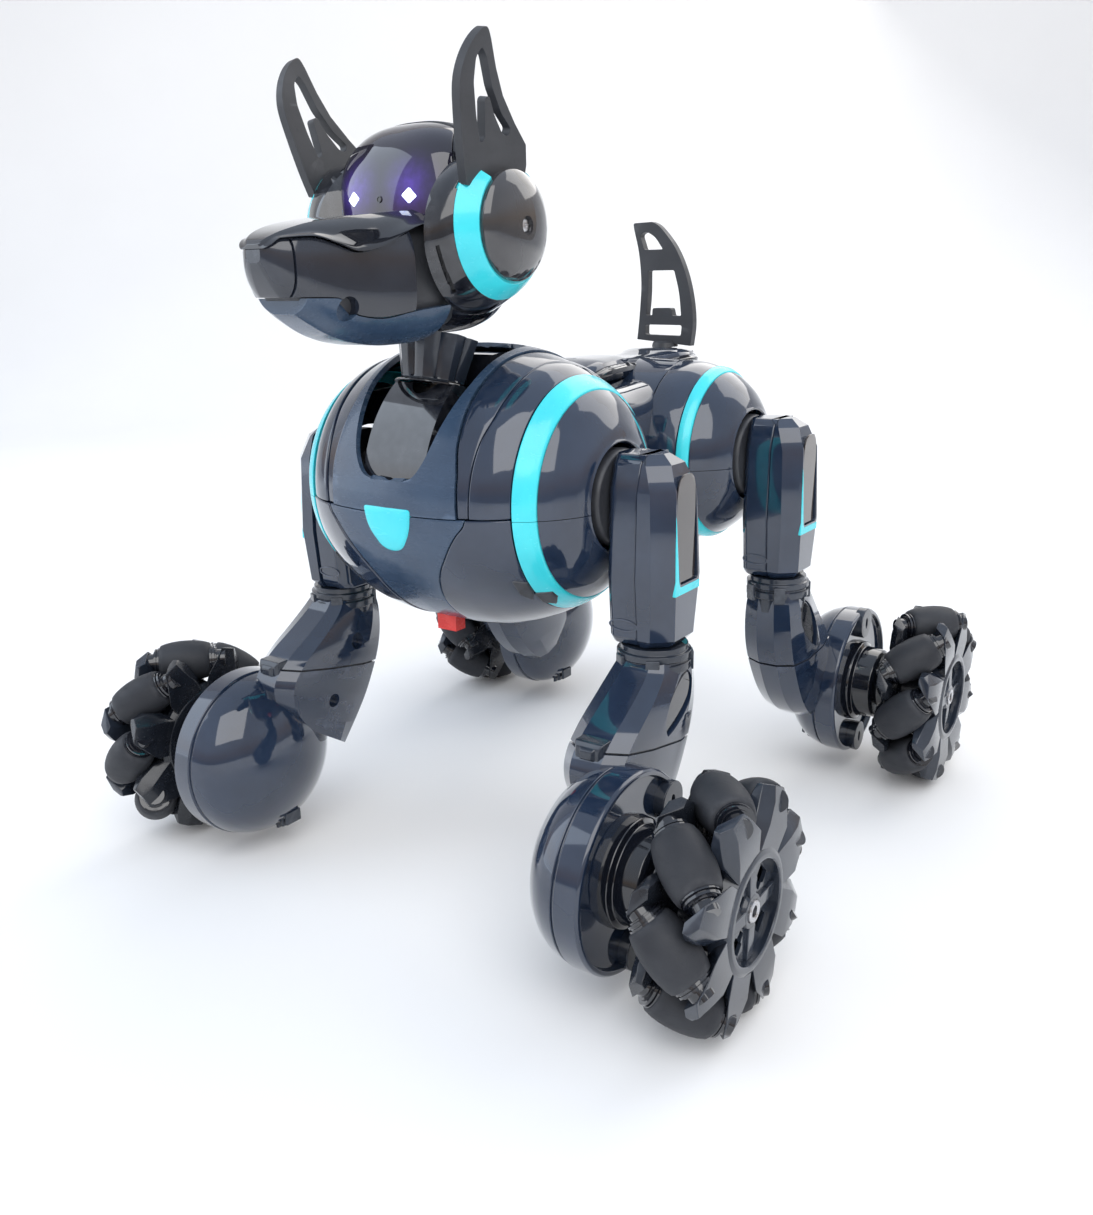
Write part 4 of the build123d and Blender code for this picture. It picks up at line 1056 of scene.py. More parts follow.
def build_wheel(end, wheel):
    turn = -1 if end == "front" else 1
    centre = mm(WHEEL_X, wheel, WHEEL_Z)
    outwards = Vector((1, 0, 0))
    rubber, sleeves, outer_arms, inner_arms = (bmesh.new() for _ in range(4))
    for index in range(ROLLERS):
        theta = 2 * pi * index / ROLLERS
        radial = Vector((0, -cos(theta), sin(theta)))
        tangent = Vector((0, sin(theta), cos(theta)))
        axis = (outwards + turn * tangent).normalized()
        middle = centre + radial * ROLLER_CIRCLE * MM
        turned(rubber, RUBBER_LINE, middle, axis, 44)
        turned(sleeves, SLEEVE_LINE, middle, axis, 32)
        turned(sleeves, SLEEVE_LINE, middle, -axis, 32)
        swing = radians(19.1)
        for arms, way in ((outer_arms, 1), (inner_arms, -1)):
            sideways = tangent * turn * way
            along = radial * cos(swing) + sideways * sin(swing)
            across = sideways * cos(swing) - radial * sin(swing)
            hull(arms, [centre / MM + along * u + across * v + outwards * way * w for u, v, w in ARM_POINTS])
    add_pair(end, "roller_rubber", rubber, RUBBER, "wheel", "roller_rubber", ["rollers"], smooth_angle=40)
    add_pair(end, "roller_sleeves", sleeves, GLOSS_BLACK, "wheel", "gloss_black", smooth_angle=30)
    turned(inner_arms, [(102.2, 0), (102.2, 8), (102.8, 20), (104.6, 22.5), (107, 22), (109, 15), (121.5, 14),
                        (121.5, 0)],
           mm(0, wheel, WHEEL_Z), (1, 0, 0), 72)
    add_pair(end, "wheel_inner_arms", inner_arms, WHEEL_DARK, "wheel", "wheel_plastic", ["wheel_hub"],
             bevel=0.0005, smooth_angle=25)

    turned(outer_arms, [(121.0, 15.2), (126.3, 15.2), (126.6, 15.6), (126.6, 17.0), (126.0, 18.4), (122, 20.5),
                        (121.0, 20.5),
                        (121.0, 15.2)], mm(0, wheel, WHEEL_Z), (1, 0, 0), 96)
    add_pair(end, "wheel_star", outer_arms, WHEEL_PLASTIC, "wheel", "wheel_plastic", ["star_plate"],
             bevel=0.0005, bevel_segments=2, smooth_angle=22)

    dish = bmesh.new()
    rim = [(15.3 * cos(2 * pi * k / 72), 15.3 * sin(2 * pi * k / 72)) for k in range(72)]
    holes = []
    for index in range(4):
        a = pi / 4 + index * pi / 2
        keyhole = rounded([(6.4, -1.5), (9.0, -1.5), (9.0, -3.0), (12.8, -3.0), (12.8, 3.0), (9.0, 3.0),
                           (9.0, 1.5), (6.4, 1.5)], 0.6)
        holes.append([(u * cos(a) - v * sin(a), u * sin(a) + v * cos(a)) for u, v in keyhole])
    prism(dish, rim, lambda u, v, w: mm(122.6, wheel + u, WHEEL_Z + v) + Vector((w, 0, 0)), 0.0012, holes)
    add_pair(end, "wheel_dish", dish, WHEEL_PLASTIC, "wheel", "wheel_plastic", bevel=0.0003, smooth_angle=30)
    bush = bmesh.new()
    turned(bush, [(123.0, 1.7), (123.0, 3.3), (125.4, 3.3), (125.7, 3.0), (125.7, 2.2), (125.4, 1.7), (123.0, 1.7)],
           mm(0, wheel, WHEEL_Z), (1, 0, 0), 40)
    add_pair(end, "wheel_bush", bush, STEEL, "wheel", "screw_steel", smooth_angle=30)
    ribs = bmesh.new()
    for index in range(4):
        a = index * pi / 2
        side, up = Vector((0, cos(a), sin(a))), Vector((0, -sin(a), cos(a)))
        base = Vector((0, wheel, WHEEL_Z))
        hull(ribs, [base + side * r + up * w + outwards * x for r, x_top in ((2.5, 125.0), (15.2, 124.6))
                    for w in (-2.0, 2.0) for x in (123.2, x_top)])
    turned(ribs, [(123.4, 3.1), (125.0, 3.4), (125.0, 5.0), (123.4, 6.0), (123.4, 3.1)], mm(0, wheel, WHEEL_Z),
           (1, 0, 0), 48)
    add_pair(end, "wheel_ribs", ribs, WHEEL_PLASTIC, "wheel", "wheel_plastic", bevel=0.0003, smooth_angle=30)


SMOKED = moulded("smoked_pane", (0.020, 0.014, 0.012), (0.040, 0.026, 0.020), 0.06, 0.03,
                 grain=(200, 0.05, 0.00012), coat=0.8)
WHEEL_DARK = moulded("wheel_dark", (0.008, 0.010, 0.015), (0.018, 0.022, 0.030), 0.24, 0.07,
                     grain=(1400, 0.10, 0.00004), wear=0.4, coat=0.2)

for leg_end, hip_mm, wheel_mm in (("front", -49.3, -91.4), ("hind", 49.3, 103.0)):
    build_upper_leg(leg_end, hip_mm)
    build_collar(leg_end, hip_mm)
    build_lower_leg(leg_end, hip_mm)
    build_housing(leg_end, wheel_mm)
    build_wheel(leg_end, wheel_mm)


# ---------------------------------------------------------------- head

SKULL = Vector((0, -70, 222))
SKULL_X, SKULL_FRONT, SKULL_BACK, SKULL_TOP, SKULL_FOOT = 27.5, 20.5, 21.0, 29.4, 30.5
SKULL_POWER = 2.7


def skull_point(x, degrees_up, lift=0.0):
    """Point on the skull in mm at x; the angle runs from straight ahead over the top."""
    a = radians(degrees_up)
    c, s = cos(a), sin(a)
    side = max(0.0, 1 - abs(x / SKULL_X) ** SKULL_POWER) ** (1 / SKULL_POWER)
    y_reach = SKULL_FRONT if c > 0 else SKULL_BACK
    z_reach = SKULL_TOP if s > 0 else SKULL_FOOT
    reach = (abs(c / y_reach) ** SKULL_POWER + abs(s / z_reach) ** SKULL_POWER) ** (-1 / SKULL_POWER)
    return Vector((x, SKULL.y - c * (reach * side + lift), SKULL.z + s * (reach * side + lift)))


def skull_patch(x_edge, low, high, lift, thickness, columns=36, rows=40):
    """Closed thin sheet over the skull between two angles; x_edge(angle) is its half width."""
    grid = []
    for i in range(rows + 1):
        angle = low + (high - low) * i / rows
        edge = x_edge(angle)
        grid.append([skull_point(edge * (-1 + 2 * j / columns), angle, lift) * MM for j in range(columns + 1)])
    bm = bmesh.new()
    sheet_shell(bm, grid, thickness * MM, lambda p: SKULL * MM)
    return bm


EYE_X = 10.8
EYE_ANGLE = 23.0                 # degrees up from straight ahead
SENSOR_ANGLE = 21.0
FACE_REACH = 24.5                # mm of face height to one radian at the eyes


def visor_edge(angle):
    return interpolate([(2, 22.5), (20, 23.5), (40, 23.0), (60, 20.5), (80, 16.5)], angle)


SNOUT_WIDTH = [(-141, 1.0), (-140.2, 3.6), (-138.6, 6.2), (-136, 8.4), (-132, 10.6), (-124, 13.0), (-114, 14.8),
               (-104, 16.6), (-96, 18.6), (-88, 21.4), (-80, 23.0)]
SNOUT_TOP = [(-141, 216.6), (-139, 218.6), (-134, 220.8), (-126, 222.8), (-114, 224.6), (-100, 226.0), (-88, 227.2)]
SNOUT_FOOT = [(-141, 214.0), (-139.5, 209.5), (-136, 203.5), (-132, 199.6), (-127, 196.4), (-120, 193.0),
              (-111, 190.6), (-100, 189.4), (-90, 189.6), (-80, 191.5)]
PLATE_EDGE = [(-141, 215.6), (-137, 218.6), (-130, 219.0), (-123, 217.2), (-116.5, 215.2), (-110, 216.2),
              (-101, 220.0), (-95, 222.2), (-88, 224.0)]
JAW_EDGE = [(-140, 203.6), (-124, 203.3), (-120, 201.4), (-116.5, 198.5), (-108, 197.4), (-98, 199.0), (-84, 201.0)]


def snout_half(y, z):
    """Half width of the snout at a height, rounder towards the chin than at the plate."""
    top, foot, width = interpolate(SNOUT_TOP, y), interpolate(SNOUT_FOOT, y), interpolate(SNOUT_WIDTH, y)
    f = (z - foot) / (top - foot)
    if f < 0.45:
        return width * max(0.0, 1 - ((0.45 - f) / 0.47) ** 2.6) ** (1 / 2.2)
    return width * max(0.0, 1 - ((f - 0.45) / 0.60) ** 4) ** 0.5


def snout_piece(y_back, y_front, low, high, shrink=0.0, rows=40, columns=12, lip=0.0):
    """Closed loft along the snout between two height lines, each a function of y."""
    bm = bmesh.new()
    rings = []
    for i in range(rows + 1):
        f = i / rows
        y = y_back + (y_front - y_back) * (1 - (1 - f) ** 1.5)
        a, b = low(y), high(y)
        right = []
        for j in range(columns + 1):
            g = 0.5 - 0.5 * cos(pi * j / columns)
            z = a + (b - a) * g
            edge = lip * smoothstep(0.45, 0.0, g)
            right.append((snout_half(y, z) - shrink + edge, z))
        ring = [(x, z) for x, z in right] + [(-x, z) for x, z in reversed(right)]
        rings.append([mm(x, y, z) for x, z in ring])
    skin_rings(bm, rings, cap_start=True, cap_end=True)
    return bm


def build_head():
    skull = bmesh.new()
    rings = []
    for i in range(49):
        x = -SKULL_X * cos(pi * i / 48) * 0.999
        rings.append([skull_point(x, 360 * k / 96) * MM for k in range(96)])
    skin_rings(skull, rings, cap_start=True, cap_end=True)
    finish_mesh("skull", skull, GLOSS_BLACK, "head", "gloss_black", smooth_angle=60, replaces=("head_shell",))

    finish_mesh("visor", skull_patch(visor_edge, 9, 81, 0.9, 1.0), VISOR, "head", "visor", bevel=0.0004,
                smooth_angle=50, replaces=("face_visor",))
    brow = skull_patch(lambda a: interpolate([(82, 17.6), (96, 15.0)], a), 82.2, 95, 1.3, 1.4, 30, 10)
    finish_mesh("brow_strip", brow, MATTE_BLACK, "head", "matte_black", bevel=0.0005, smooth_angle=50)
    for side in (-1, 1):
        rim = []
        for i in range(41):
            angle = 9 + 72 * i / 40
            edge = visor_edge(angle)
            rim.append([skull_point(side * (edge + w), angle, lift) * MM
                        for w, lift in ((0.25, 0.2), (0.25, 1.2), (1.4, 1.1), (1.9, 0.2))])
        bm = bmesh.new()
        skin_rings(bm, rim, close_ring=True, cap_start=True, cap_end=True)
        finish_mesh(f"visor_rim_{'left' if side > 0 else 'right'}", bm, GLOSS_BLACK, "head", "gloss_black",
                    smooth_angle=30)

    lamps = bmesh.new()
    for side in (-1, 1):
        front = skull_point(side * EYE_X, EYE_ANGLE, 1.0)
        outline = rounded([(-2.5, 0), (0, -2.3), (2.5, 0), (0, 2.3)], 0.5, 3)
        rings = []
        for grow, lift in ((1.0, -0.6), (1.0, 0.15), (0.8, 0.35), (0.4, 0.42)):
            rings.append([skull_point(front.x + u * grow, EYE_ANGLE + degrees(v * grow / FACE_REACH), 1.0 + lift) * MM
                          for u, v in outline])
        skin_rings(lamps, rings, cap_start=True, cap_end=True)
    finish_mesh("eyes", lamps, EYE, "head", "eye_light", smooth_angle=40, replaces=("eye_lights",))
    dot = bmesh.new()
    rings = []
    for radius, lift in ((1.0, 0.6), (1.0, 1.15), (0.75, 1.2), (0.7, 1.0)):
        rings.append([skull_point(radius * cos(2 * pi * k / 24),
                                  SENSOR_ANGLE + degrees(radius * sin(2 * pi * k / 24) / FACE_REACH), lift) * MM
                      for k in range(24)])
    skin_rings(dot, rings, cap_start=True, cap_end=True)
    finish_mesh("sensor_dot", dot, GLOSS_BLACK, "head", "gloss_black", smooth_angle=40)

    top = lambda y: interpolate(SNOUT_TOP, y)
    foot = lambda y: interpolate(SNOUT_FOOT, y)
    plate = lambda y: interpolate(PLATE_EDGE, y)
    jaw = lambda y: interpolate(JAW_EDGE, y)
    finish_mesh("snout_top", snout_piece(-86, -140.6, plate, top, -0.5, rows=60, lip=1.3), GLOSS_BLACK, "head",
                "gloss_black", bevel=0.0004, bevel_segments=3, smooth_angle=40, replaces=("snout_plate",))
    recess = [x_drill(10.2, 40, -120, 200.3, 3.3), x_drill(-40, -10.2, -120, 200.3, 3.3)]
    cheek = carve(snout_piece(-97.5, -134.4, lambda y: jaw(y) + 0.15, lambda y: plate(y) - 0.25), recess)
    finish_mesh("cheeks", cheek, CHEEK_GLOSS, "head", "body_shell", bevel=0.0003, smooth_angle=40)
    finish_mesh("nose", snout_piece(-134.9, -140.5, lambda y: max(203.6, foot(y) + 0.1), lambda y: plate(y) - 0.25,
                                    0.1, rows=24),
                CHEEK_GLOSS, "head", "body_shell", bevel=0.0004, smooth_angle=45, replaces=("nose_cap",))
    recess = [x_drill(10.2, 40, -120, 200.3, 3.3), x_drill(-40, -10.2, -120, 200.3, 3.3)]
    chin = carve(snout_piece(-86, -131.5, lambda y: foot(y) + 0.02, lambda y: jaw(y) - 0.15, rows=50), recess)
    finish_mesh("jaw", chin, SHELL_SATIN, "head", "body_shell", bevel=0.0004, smooth_angle=40,
                replaces=("lower_jaw",))
    core = snout_piece(-80, -136, lambda y: foot(y) + 3.5, lambda y: top(y) - 3, 3.0)
    finish_mesh("snout_core", core, MATTE_BLACK, "head", "matte_black", smooth_angle=50)


# ---------------------------------------------------------------- ears

EAR_Y_MM, EAR_Z_MM = -72.0, 222.0
EAR_ROOT_X = 26.5
EAR_LEAN = radians(9)
EAR_OUTLINE = [(-17.2, 11), (-19.6, 18), (-22.2, 28), (-23.6, 36), (-22.4, 42), (-19.4, 47), (-15.8, 50.2),
               (-13.6, 50.6),
               (-11.8, 48.2), (-8.6, 41.5), (-4.4, 35.0), (2.2, 28.6), (8.6, 23.4), (9.8, 18), (9.4, 11.4),
               (-4, 10.6)]
EAR_SLOT = [(-12.8, 22.0), (-15.6, 29), (-17.8, 37), (-17.6, 43), (-15.4, 45.8), (-13.2, 43.8), (-9.6, 36.6),
            (-4.4, 30.4),
            (0.6, 27.0), (-0.4, 24.8), (-3.0, 25.2), (-7.4, 29.6), (-10.6, 34.4), (-12.4, 33.4), (-10.8, 23.2)]
POD_REACH = [(0, 21.5), (60, 21.0), (90, 20.5), (130, 21.5), (165, 24.0), (200, 26.0), (235, 26.5), (270, 25.2),
             (310, 23.0), (360, 21.5)]     # degrees from straight back over the top, against radius


def pod_point(angle, grow, x):
    """Point of the pod's outline in mm; grow runs from 0 at the coloured ring to 1 beside the head."""
    reach = 21.0 + (interpolate(POD_REACH, angle % 360) - 21.0) * grow
    a = radians(angle)
    return Vector((x, EAR_Y_MM + reach * cos(a), EAR_Z_MM + reach * sin(a)))


EAR_ACROSS = Vector((cos(EAR_LEAN), 0, -sin(EAR_LEAN)))


def ear_place(back, up, out):
    """Point in mm on the left ear, which leans outwards about its foot."""
    return Vector((EAR_ROOT_X + up * sin(EAR_LEAN), EAR_Y_MM + back,
                   EAR_Z_MM + up * cos(EAR_LEAN))) + EAR_ACROSS * out


def head_pair(name, bm, material, slot, replaces=(), **look):
    """A piece on the left of the head and its mirror image on the right."""
    left = finish_mesh(f"left_{name}_look", bm, material, "head", slot,
                       replaces=[f"left_{node}" for node in replaces], **look)
    mirror_piece(left, f"right_{name}_look", "head", [f"right_{node}" for node in replaces])


def build_ears():
    pod = bmesh.new()
    rings = []
    for x, grow, scale in ((16.0, 0.7, 0.72), (19.0, 1.0, 0.90), (21.0, 1.0, 0.98), (23.0, 0.80, 1.0),
                           (25.6, 0.4, 1.0),
                           (27.4, 0.1, 1.0), (28.4, 0.0, 0.985), (28.6, 0.0, 0.93), (31.6, 0.0, 0.76)):
        ring = []
        for k in range(120):
            p = pod_point(3 * k, grow, x)
            ring.append(Vector((x, EAR_Y_MM + (p.y - EAR_Y_MM) * scale, EAR_Z_MM + (p.z - EAR_Z_MM) * scale)) * MM)
        rings.append(ring)
    skin_rings(pod, rings, cap_start=True, cap_end=True)
    slots = []
    for index in range(3):
        at = pod_point(203 + 9 * index, 0.55, 24.6)
        cutter = bmesh.new()
        lean = Vector((0, 0.42, -0.9))
        for_side = Vector((0.35, -0.8, -0.35))
        hull(cutter, [at + lean * u + lean.cross(for_side).normalized() * v + for_side * w
                      for u in (-4.2 + index * 0.4, 4.2 - index * 0.6) for v in (-0.55, 0.55) for w in (-2.2, 5)])
        slots.append(cutter)
    groove = bmesh.new()
    hull(groove, [ear_place(u, v, w) for u in (-21.5, 11.5) for v in (9.8, 40) for w in (-0.3, 3.3)])
    slots.append(groove)
    pod = carve(pod, slots)
    head_pair("pod", pod, GLOSS_BLACK, "gloss_black", ["ear_pod"], bevel=0.0004, smooth_angle=30)

    ear = bmesh.new()
    shape = spline_2d(EAR_OUTLINE[:9], 5, closed=False) + EAR_OUTLINE[9:]
    shape = [(EAR_Y_MM + u, EAR_Z_MM + v) for u, v in shape]
    slot_line = rounded([(EAR_Y_MM + u, EAR_Z_MM + v) for u, v in EAR_SLOT], 1.1, 4)
    prism(ear, shape, lambda u, v, w: ear_place(u - EAR_Y_MM, v - EAR_Z_MM, 0) * MM + EAR_ACROSS * w, 0.0028,
          [slot_line])
    head_pair("ear", ear, MATTE_BLACK, "matte_black", ["ear"], bevel=0.0009, bevel_segments=3, smooth_angle=35)

    band = bmesh.new()
    rings = []
    for k in range(101):
        a = radians(128 + 284 * k / 100)
        rings.append([mm(x, EAR_Y_MM + r * cos(a), EAR_Z_MM + r * sin(a))
                      for x, r in ((27.6, 18.6), (27.8, 20.5), (28.6, 20.6), (31.2, 18.9), (33.6, 16.7),
                                   (34.0, 16.2), (33.6, 15.0))])
    skin_rings(band, rings, close_ring=True, cap_start=True, cap_end=True)
    left = finish_mesh("left_ear_ring_look", band, CYAN, "head", "cyan_trim", smooth_angle=35,
                       replaces=("ear_rings",))
    mirror_piece(left, "right_ear_ring_look", "head")

    cap = bmesh.new()
    turned(cap, [(31.0, 0), (31.0, 14.6), (33.8, 15.5), (35.0, 15.4), (36.2, 14.3), (37.8, 11.2), (38.7, 7.2),
                 (39.2, 3.0),
                 (39.2, 2.6), (37.9, 2.2), (37.7, 0)], mm(0, EAR_Y_MM, EAR_Z_MM), (1, 0, 0), 96)
    left = finish_mesh("left_ear_cap_look", cap, CAP_GLOSS, "head", "gloss_black", smooth_angle=28,
                       replaces=("ear_caps",))
    mirror_piece(left, "right_ear_cap_look", "head")
    screw = bmesh.new()
    turned(screw, [(37.4, 0), (37.4, 1.9), (38.2, 1.7), (38.4, 1.2), (38.4, 0.7), (38.0, 0.5), (38.0, 0)],
           mm(0, EAR_Y_MM, EAR_Z_MM), (1, 0, 0), 32)
    head_pair("ear_screw", screw, STEEL, "screw_steel", smooth_angle=30)


# ---------------------------------------------------------------- neck, back, tail and small parts

NECK_FOOT = Vector((0, -71.6, 175.5))
NECK_LEAN = radians(15)


def neck_point(x, y, along):
    """Point in mm in the neck's own axes: x across, y to the rear, along up the neck."""
    return NECK_FOOT + Vector((x, y * cos(NECK_LEAN) + along * sin(NECK_LEAN),
                               along * cos(NECK_LEAN) - y * sin(NECK_LEAN)))


def build_neck():
    column = bmesh.new()
    rings = []
    for along, radius, flute in ((0.4, 10.0, 0.0), (1.0, 10.6, 0.0), (1.6, 10.6, 1.0), (8, 11.9, 1.0),
                                 (15.0, 13.4, 1.0)):
        ring = []
        for k in range(96):
            a = 2 * pi * k / 96
            corner = 1 / max(cos((a + pi / 8) % (pi / 4) - pi / 8), 0.2)
            groove = 0.75 * flute * smoothstep(0.80, 0.98, cos(8 * a))
            r = radius * (0.93 + 0.07 * (corner - 1) / 0.082) - groove
            ring.append(neck_point(r * cos(a), r * sin(a), along) * MM)
        rings.append(ring)
    skin_rings(column, rings, cap_start=True, cap_end=True)
    finish_mesh("neck_fluted", column, WHEEL_PLASTIC, "neck", "gloss_black", smooth_angle=24,
                replaces=("neck_column",))
    ring = bmesh.new()
    direction = Vector((0, sin(NECK_LEAN), cos(NECK_LEAN)))
    turned(ring, [(-0.4, 10.8), (0.25, 10.8), (0.25, 11.6), (-0.1, 11.9), (-0.4, 11.9), (-0.4, 10.8)],
           NECK_FOOT * MM,
           direction, 72)
    finish_mesh("neck_seat_ring", ring, GLOSS_BLACK, "neck", "gloss_black", smooth_angle=30)


COVER_WIDTH = [(-6, 8.0), (-2, 12.5), (8, 14.6), (24, 12.6), (38, 9.6), (52, 9.4), (64, 12.4), (74, 15.2),
               (82, 13.8), (89, 9.5)]
COVER_HEIGHT = [(-6, 172.4), (0, 175.6), (12, 178.4), (28, 178.6), (44, 177.6), (60, 177.8), (74, 178.8),
                (89, 178.0)]


def build_cover():
    bm = bmesh.new()
    rings = []
    for i in range(73):
        y = -6 + 95 * i / 72
        half, top = interpolate(COVER_WIDTH, y), interpolate(COVER_HEIGHT, y)
        saddle = 1.6 * smoothstep(30, 46, y) * smoothstep(66, 52, y)
        ring = []
        for u, drop in ((-1, 5.4), (-1, 2.6), (-0.93, 1.3), (-0.75, 0.5), (-0.45, 0.15), (0, 0), (0.45, 0.15),
                        (0.75, 0.5),
                        (0.93, 1.3), (1, 2.6), (1, 5.4)):
            ring.append(mm(half * u, y, top - drop - saddle * (1 - abs(u)) * 0.6))
        rings.append(ring)
    skin_rings(bm, rings, close_ring=True, cap_start=True, cap_end=True)
    slit = bmesh.new()
    hull(slit, [(x, y + x * 0.5, z) for x in (-6.5, 1.0) for y in (10.2, 11.0) for z in (176.6, 181)])
    bm = carve(bm, [slit])
    finish_mesh("back_cover", bm, SHELL_GLOSS, "torso", "body_shell", bevel=0.0004, smooth_angle=35,
                replaces=("rump_cover",))
    base = bmesh.new()
    rings = []
    saddle_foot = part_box("rump_cover")[0][2] / MM
    for i in range(49):
        y = -8 + 98 * i / 48
        half = interpolate(COVER_WIDTH, min(max(y, -6), 89)) + 2.4
        top = interpolate(COVER_HEIGHT, min(max(y, -6), 89)) - 2.6
        half *= 1 - 0.22 * smoothstep(80, 91, y)
        foot = saddle_foot + 3.5 * smoothstep(76, 91, y)
        rings.append([mm(half * u, y, z) for u, z in ((-0.82, foot), (-1, foot + 3), (-1, top - 1.2),
                                                      (-0.9, top - 0.2),
                                                      (0.9, top - 0.2), (1, top - 1.2), (1, foot + 3),
                                                      (0.82, foot))])
    skin_rings(base, rings, close_ring=True, cap_start=True, cap_end=True)
    finish_mesh("back_cover_base", base, GLOSS_BLACK, "torso", "gloss_black", bevel=0.0005, smooth_angle=35)


TAIL_RIGHT = [(13.0, 179.2), (14.0, 188), (13.0, 198), (10.0, 209), (5.0, 219), (-2.0, 227.0), (-6.0, 229.2)]
TAIL_LEFT = [(-14.0, 229.0), (-14.6, 227.4), (-12.0, 217), (-10.8, 205), (-11.4, 193), (-12.6, 181.6)]


def build_tail():
    bm = bmesh.new()
    outline = spline_2d(TAIL_RIGHT, 5, closed=False) + spline_2d(TAIL_LEFT, 5, closed=False)
    windows = [
        rounded([(-8.6, 183.6), (8.4, 183.2), (8.8, 187.6), (-8.6, 187.8)], 0.9, 4),
        rounded([(-8.2, 191.6), (-5.4, 191.6), (-5.2, 194.6), (3.6, 194.6), (4.4, 191.4), (8.4, 191.4), (7.4, 201),
                 (4.8, 209.8), (-7.4, 209.8), (-7.4, 200)], [0.5, 0.5, 0.9, 0.9, 0.5, 0.5, 4, 0.7, 0.7, 3], 4),
        rounded([(-9.4, 218.2), (-0.6, 218.2), (-4.4, 223.4), (-8.8, 225.6), (-11.6, 224.2)],
                [0.7, 0.7, 3, 1.5, 1.2], 4),
    ]
    prism(bm, outline, lambda u, v, w: mm(u, 80.2, v) + Vector((0, w, 0)), 0.0036, windows)
    finish_mesh("tail_plate", bm, MATTE_BLACK, "tail_body", "matte_black", bevel=0.0006, bevel_segments=3,
                smooth_angle=35,
                replaces=("tail",))
    foot = bmesh.new()
    turned(foot, [(170, 0), (170, 3), (178.6, 3), (178.7, 5.6), (180.4, 5.2), (181.2, 4.2), (181.2, 0)],
           mm(0, 82, 0), (0, 0, 1), 48)
    finish_mesh("tail_foot", foot, MATTE_BLACK, "tail_body", "matte_black", smooth_angle=30)


def build_clips():
    """Dark clip under each front coloured ring."""
    for side, word in ((1, "left"), (-1, "right")):
        bm = bmesh.new()
        for x_low, x_high, low, high, lift in ((37.6, 41.2, 124, 141, 0.9), (41.4, 45.6, 136, 152, 1.4)):
            corners = []
            for x, phi in ((x_low, low), (x_high, low + 4), (x_high, high - 6), ((x_low + x_high) / 2, high),
                           (x_low, high - 7)):
                for extra in (-2.0, lift):
                    corners.append(barrel_point(FRONT_HIP_Y, side * x, phi, barrel_radius("front", x) + extra) / MM)
            hull(bm, corners)
        finish_mesh(f"ring_clip_{word}", bm, MATTE_BLACK, "torso", "matte_black", bevel=0.0004, smooth_angle=30)


KEPT_LOOKS = {
    "neck_drum": GLOSS_BLACK, "battery_door": MATTE_BLACK, "battery_pack": GREEN_WRAP, "circuit_board": BOARD,
    "front_leg_gearbox": INNER_GREY, "hind_leg_gearbox": INNER_GREY, "body_screws": STEEL, "power_switch": RED,
}


def dress_kept_nodes():
    """Materials for the CAD nodes that stay visible, or that only show when the body is opened."""
    for name, material in KEPT_LOOKS.items():
        obj = bpy.data.objects[name]
        for holder in obj.material_slots:
            holder.material = material
        if not obj.material_slots:
            obj.data.materials.append(material)


CHEEK_GLOSS = moulded("cheek_gloss", (0.012, 0.015, 0.024), (0.020, 0.025, 0.038), 0.12, 0.04,
                      grain=(220, 0.05, 0.00012), coat=0.6)
CAP_GLOSS = moulded("cap_gloss", (0.030, 0.030, 0.034), (0.045, 0.044, 0.048), 0.06, 0.03,
                    grain=(200, 0.05, 0.00012), coat=0.9)

build_head()
build_ears()
build_neck()
build_cover()
build_tail()
build_clips()
dress_kept_nodes()


# ---------------------------------------------------------------- stage, light and camera

def build_stage():
    floor_mesh = bpy.data.meshes.new("floor")
    bm = bmesh.new()
    line = [(2.2, 0.0), (-1.2, 0.0)]
    for k in range(1, 13):
        a = pi / 2 * k / 12
        line.append((-1.2 - 0.6 * sin(a), 0.6 - 0.6 * cos(a)))
    line.append((-1.8, 2.6))
    turn = Matrix.Rotation(radians(CAMERA_AZIMUTH), 3, "Z")
    rows = []
    for side in (-3.0, 3.0):
        rows.append([bm.verts.new(turn @ Vector((side, -u, w))) for u, w in line])
    for j in range(len(line) - 1):
        bm.faces.new((rows[0][j], rows[0][j + 1], rows[1][j + 1], rows[1][j]))
    bmesh.ops.recalc_face_normals(bm, faces=bm.faces)
    bm.to_mesh(floor_mesh)
    bm.free()
    for polygon in floor_mesh.polygons:
        polygon.use_smooth = True
    floor = bpy.data.objects.new("floor", floor_mesh)
    bpy.context.scene.collection.objects.link(floor)
    n = Nodes("floor_paper")
    n.link(n.blend(n.ramp(n.noise(3, 3), 0.3, 0.7), (0.90, 0.895, 0.885), (0.93, 0.925, 0.915)),
           n.shader.inputs["Base Color"])
    n.shader.inputs["Roughness"].default_value = 0.75
    n.shader.inputs["Specular IOR Level"].default_value = 0.2
    floor_mesh.materials.append(n.material)


CAMERA_AZIMUTH = 34.88          # degrees round from straight in front, towards the dog's left
CAMERA_PITCH = 16.54            # degrees down
CAMERA_ROLL = 1.04
CAMERA_PLACE = (0.2338, -0.3454, 0.2071)
CAMERA_LENS = 32.75


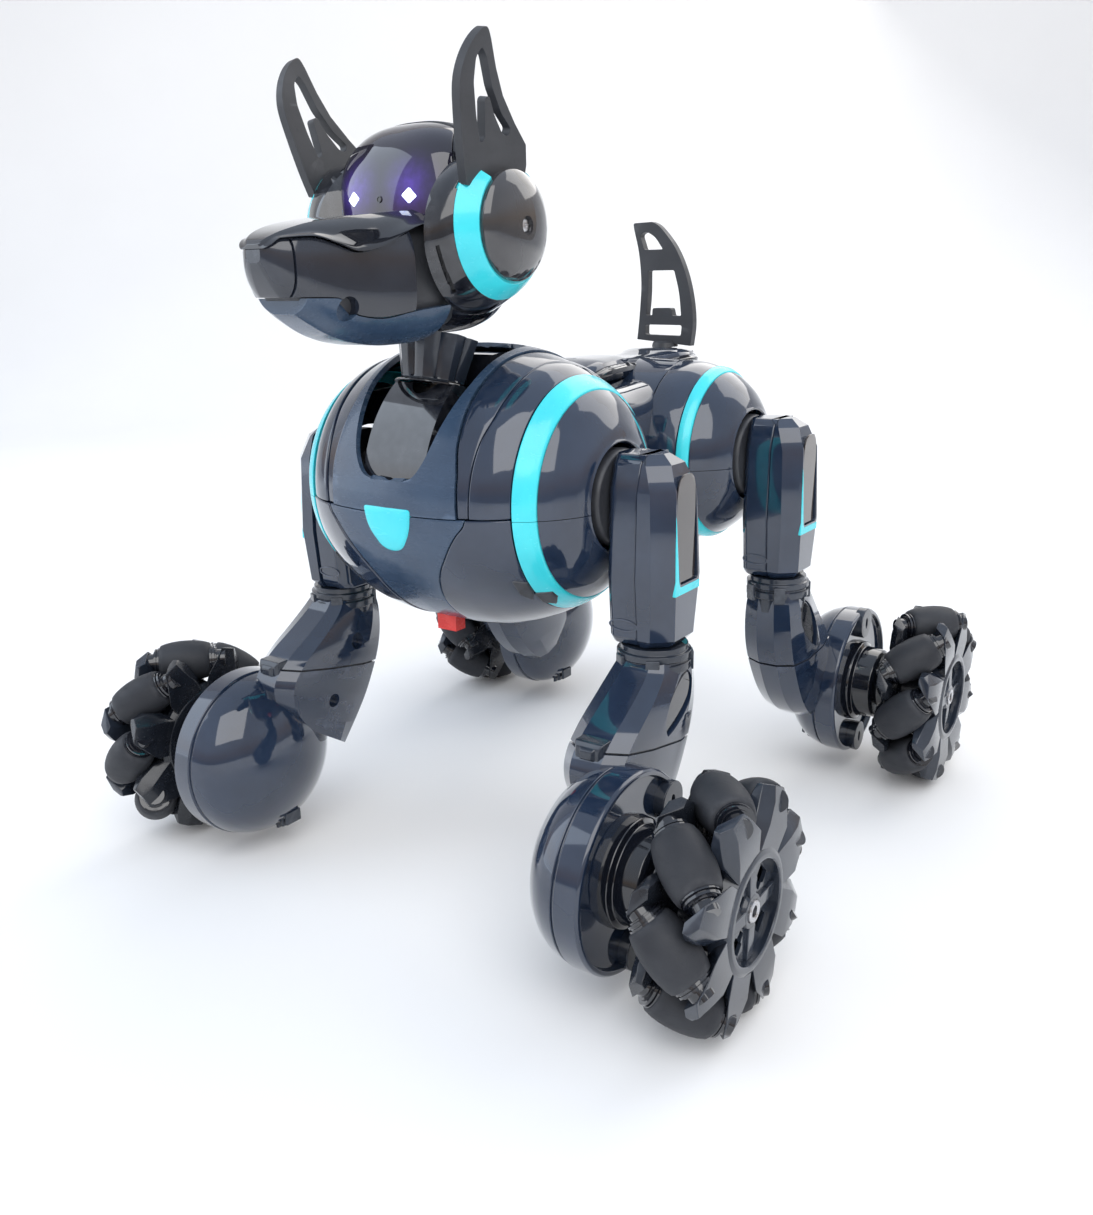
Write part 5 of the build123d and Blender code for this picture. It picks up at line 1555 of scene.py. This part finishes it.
def build_camera():
    azimuth, pitch, roll = (radians(v) for v in (CAMERA_AZIMUTH, CAMERA_PITCH, CAMERA_ROLL))
    up = Vector((0, 0, 1))
    ahead = Vector((-sin(azimuth), cos(azimuth), 0))
    right = Vector((cos(azimuth), sin(azimuth), 0))
    forward = ahead * cos(pitch) - up * sin(pitch)
    down = -(up * cos(pitch) + ahead * sin(pitch))
    rolled_right = right * cos(roll) + down * sin(roll)
    rolled_down = down * cos(roll) - right * sin(roll)
    data = bpy.data.cameras.new("camera")
    data.sensor_width = 36
    data.lens = CAMERA_LENS
    camera = bpy.data.objects.new("camera", data)
    turn = Matrix((rolled_right, -rolled_down, -forward)).transposed().to_4x4()
    camera.matrix_world = Matrix.Translation(CAMERA_PLACE) @ turn
    bpy.context.scene.collection.objects.link(camera)
    bpy.context.scene.camera = camera


def add_light(name, place, target, size, power, color):
    data = bpy.data.lights.new(name, "AREA")
    data.shape = "RECTANGLE"
    data.size, data.size_y = size
    data.energy = power
    data.color = color
    light = bpy.data.objects.new(name, data)
    light.location = place
    light.rotation_euler = (Vector(target) - Vector(place)).to_track_quat("-Z", "Y").to_euler()
    bpy.context.scene.collection.objects.link(light)


def build_lights():
    world = bpy.data.worlds.new("studio")
    bpy.context.scene.world = world
    world.use_nodes = True
    tree = world.node_tree
    background = tree.nodes["Background"]
    place = tree.nodes.new("ShaderNodeTexCoord")
    split = tree.nodes.new("ShaderNodeSeparateXYZ")
    ramp = tree.nodes.new("ShaderNodeValToRGB")
    tree.links.new(place.outputs["Generated"], split.inputs[0])
    tree.links.new(split.outputs["Z"], ramp.inputs[0])
    tree.links.new(ramp.outputs[0], background.inputs["Color"])
    stops = ramp.color_ramp.elements
    stops[0].position, stops[0].color = 0.0, (0.42, 0.40, 0.39, 1)
    stops[1].position, stops[1].color = 1.0, (0.74, 0.84, 1.0, 1)
    warm = ramp.color_ramp.elements.new(0.12)
    warm.color = (0.62, 0.50, 0.40, 1)
    pale = ramp.color_ramp.elements.new(0.30)
    pale.color = (0.78, 0.80, 0.86, 1)
    background.inputs["Strength"].default_value = 0.9
    middle = (0, 0, 0.14)
    add_light("key_softbox", (0.9, -0.9, 1.3), middle, (1.6, 1.4), 17, (1.0, 0.98, 0.95))
    add_light("left_softbox", (-1.3, -0.9, 0.7), middle, (1.2, 1.8), 11, (0.78, 0.88, 1.0))
    add_light("back_softbox", (0.2, 1.3, 1.2), middle, (1.8, 1.2), 12, (1.0, 0.97, 0.93))


build_stage()
build_lights()
build_camera()
bpy.context.scene.view_settings.view_transform = "Standard"
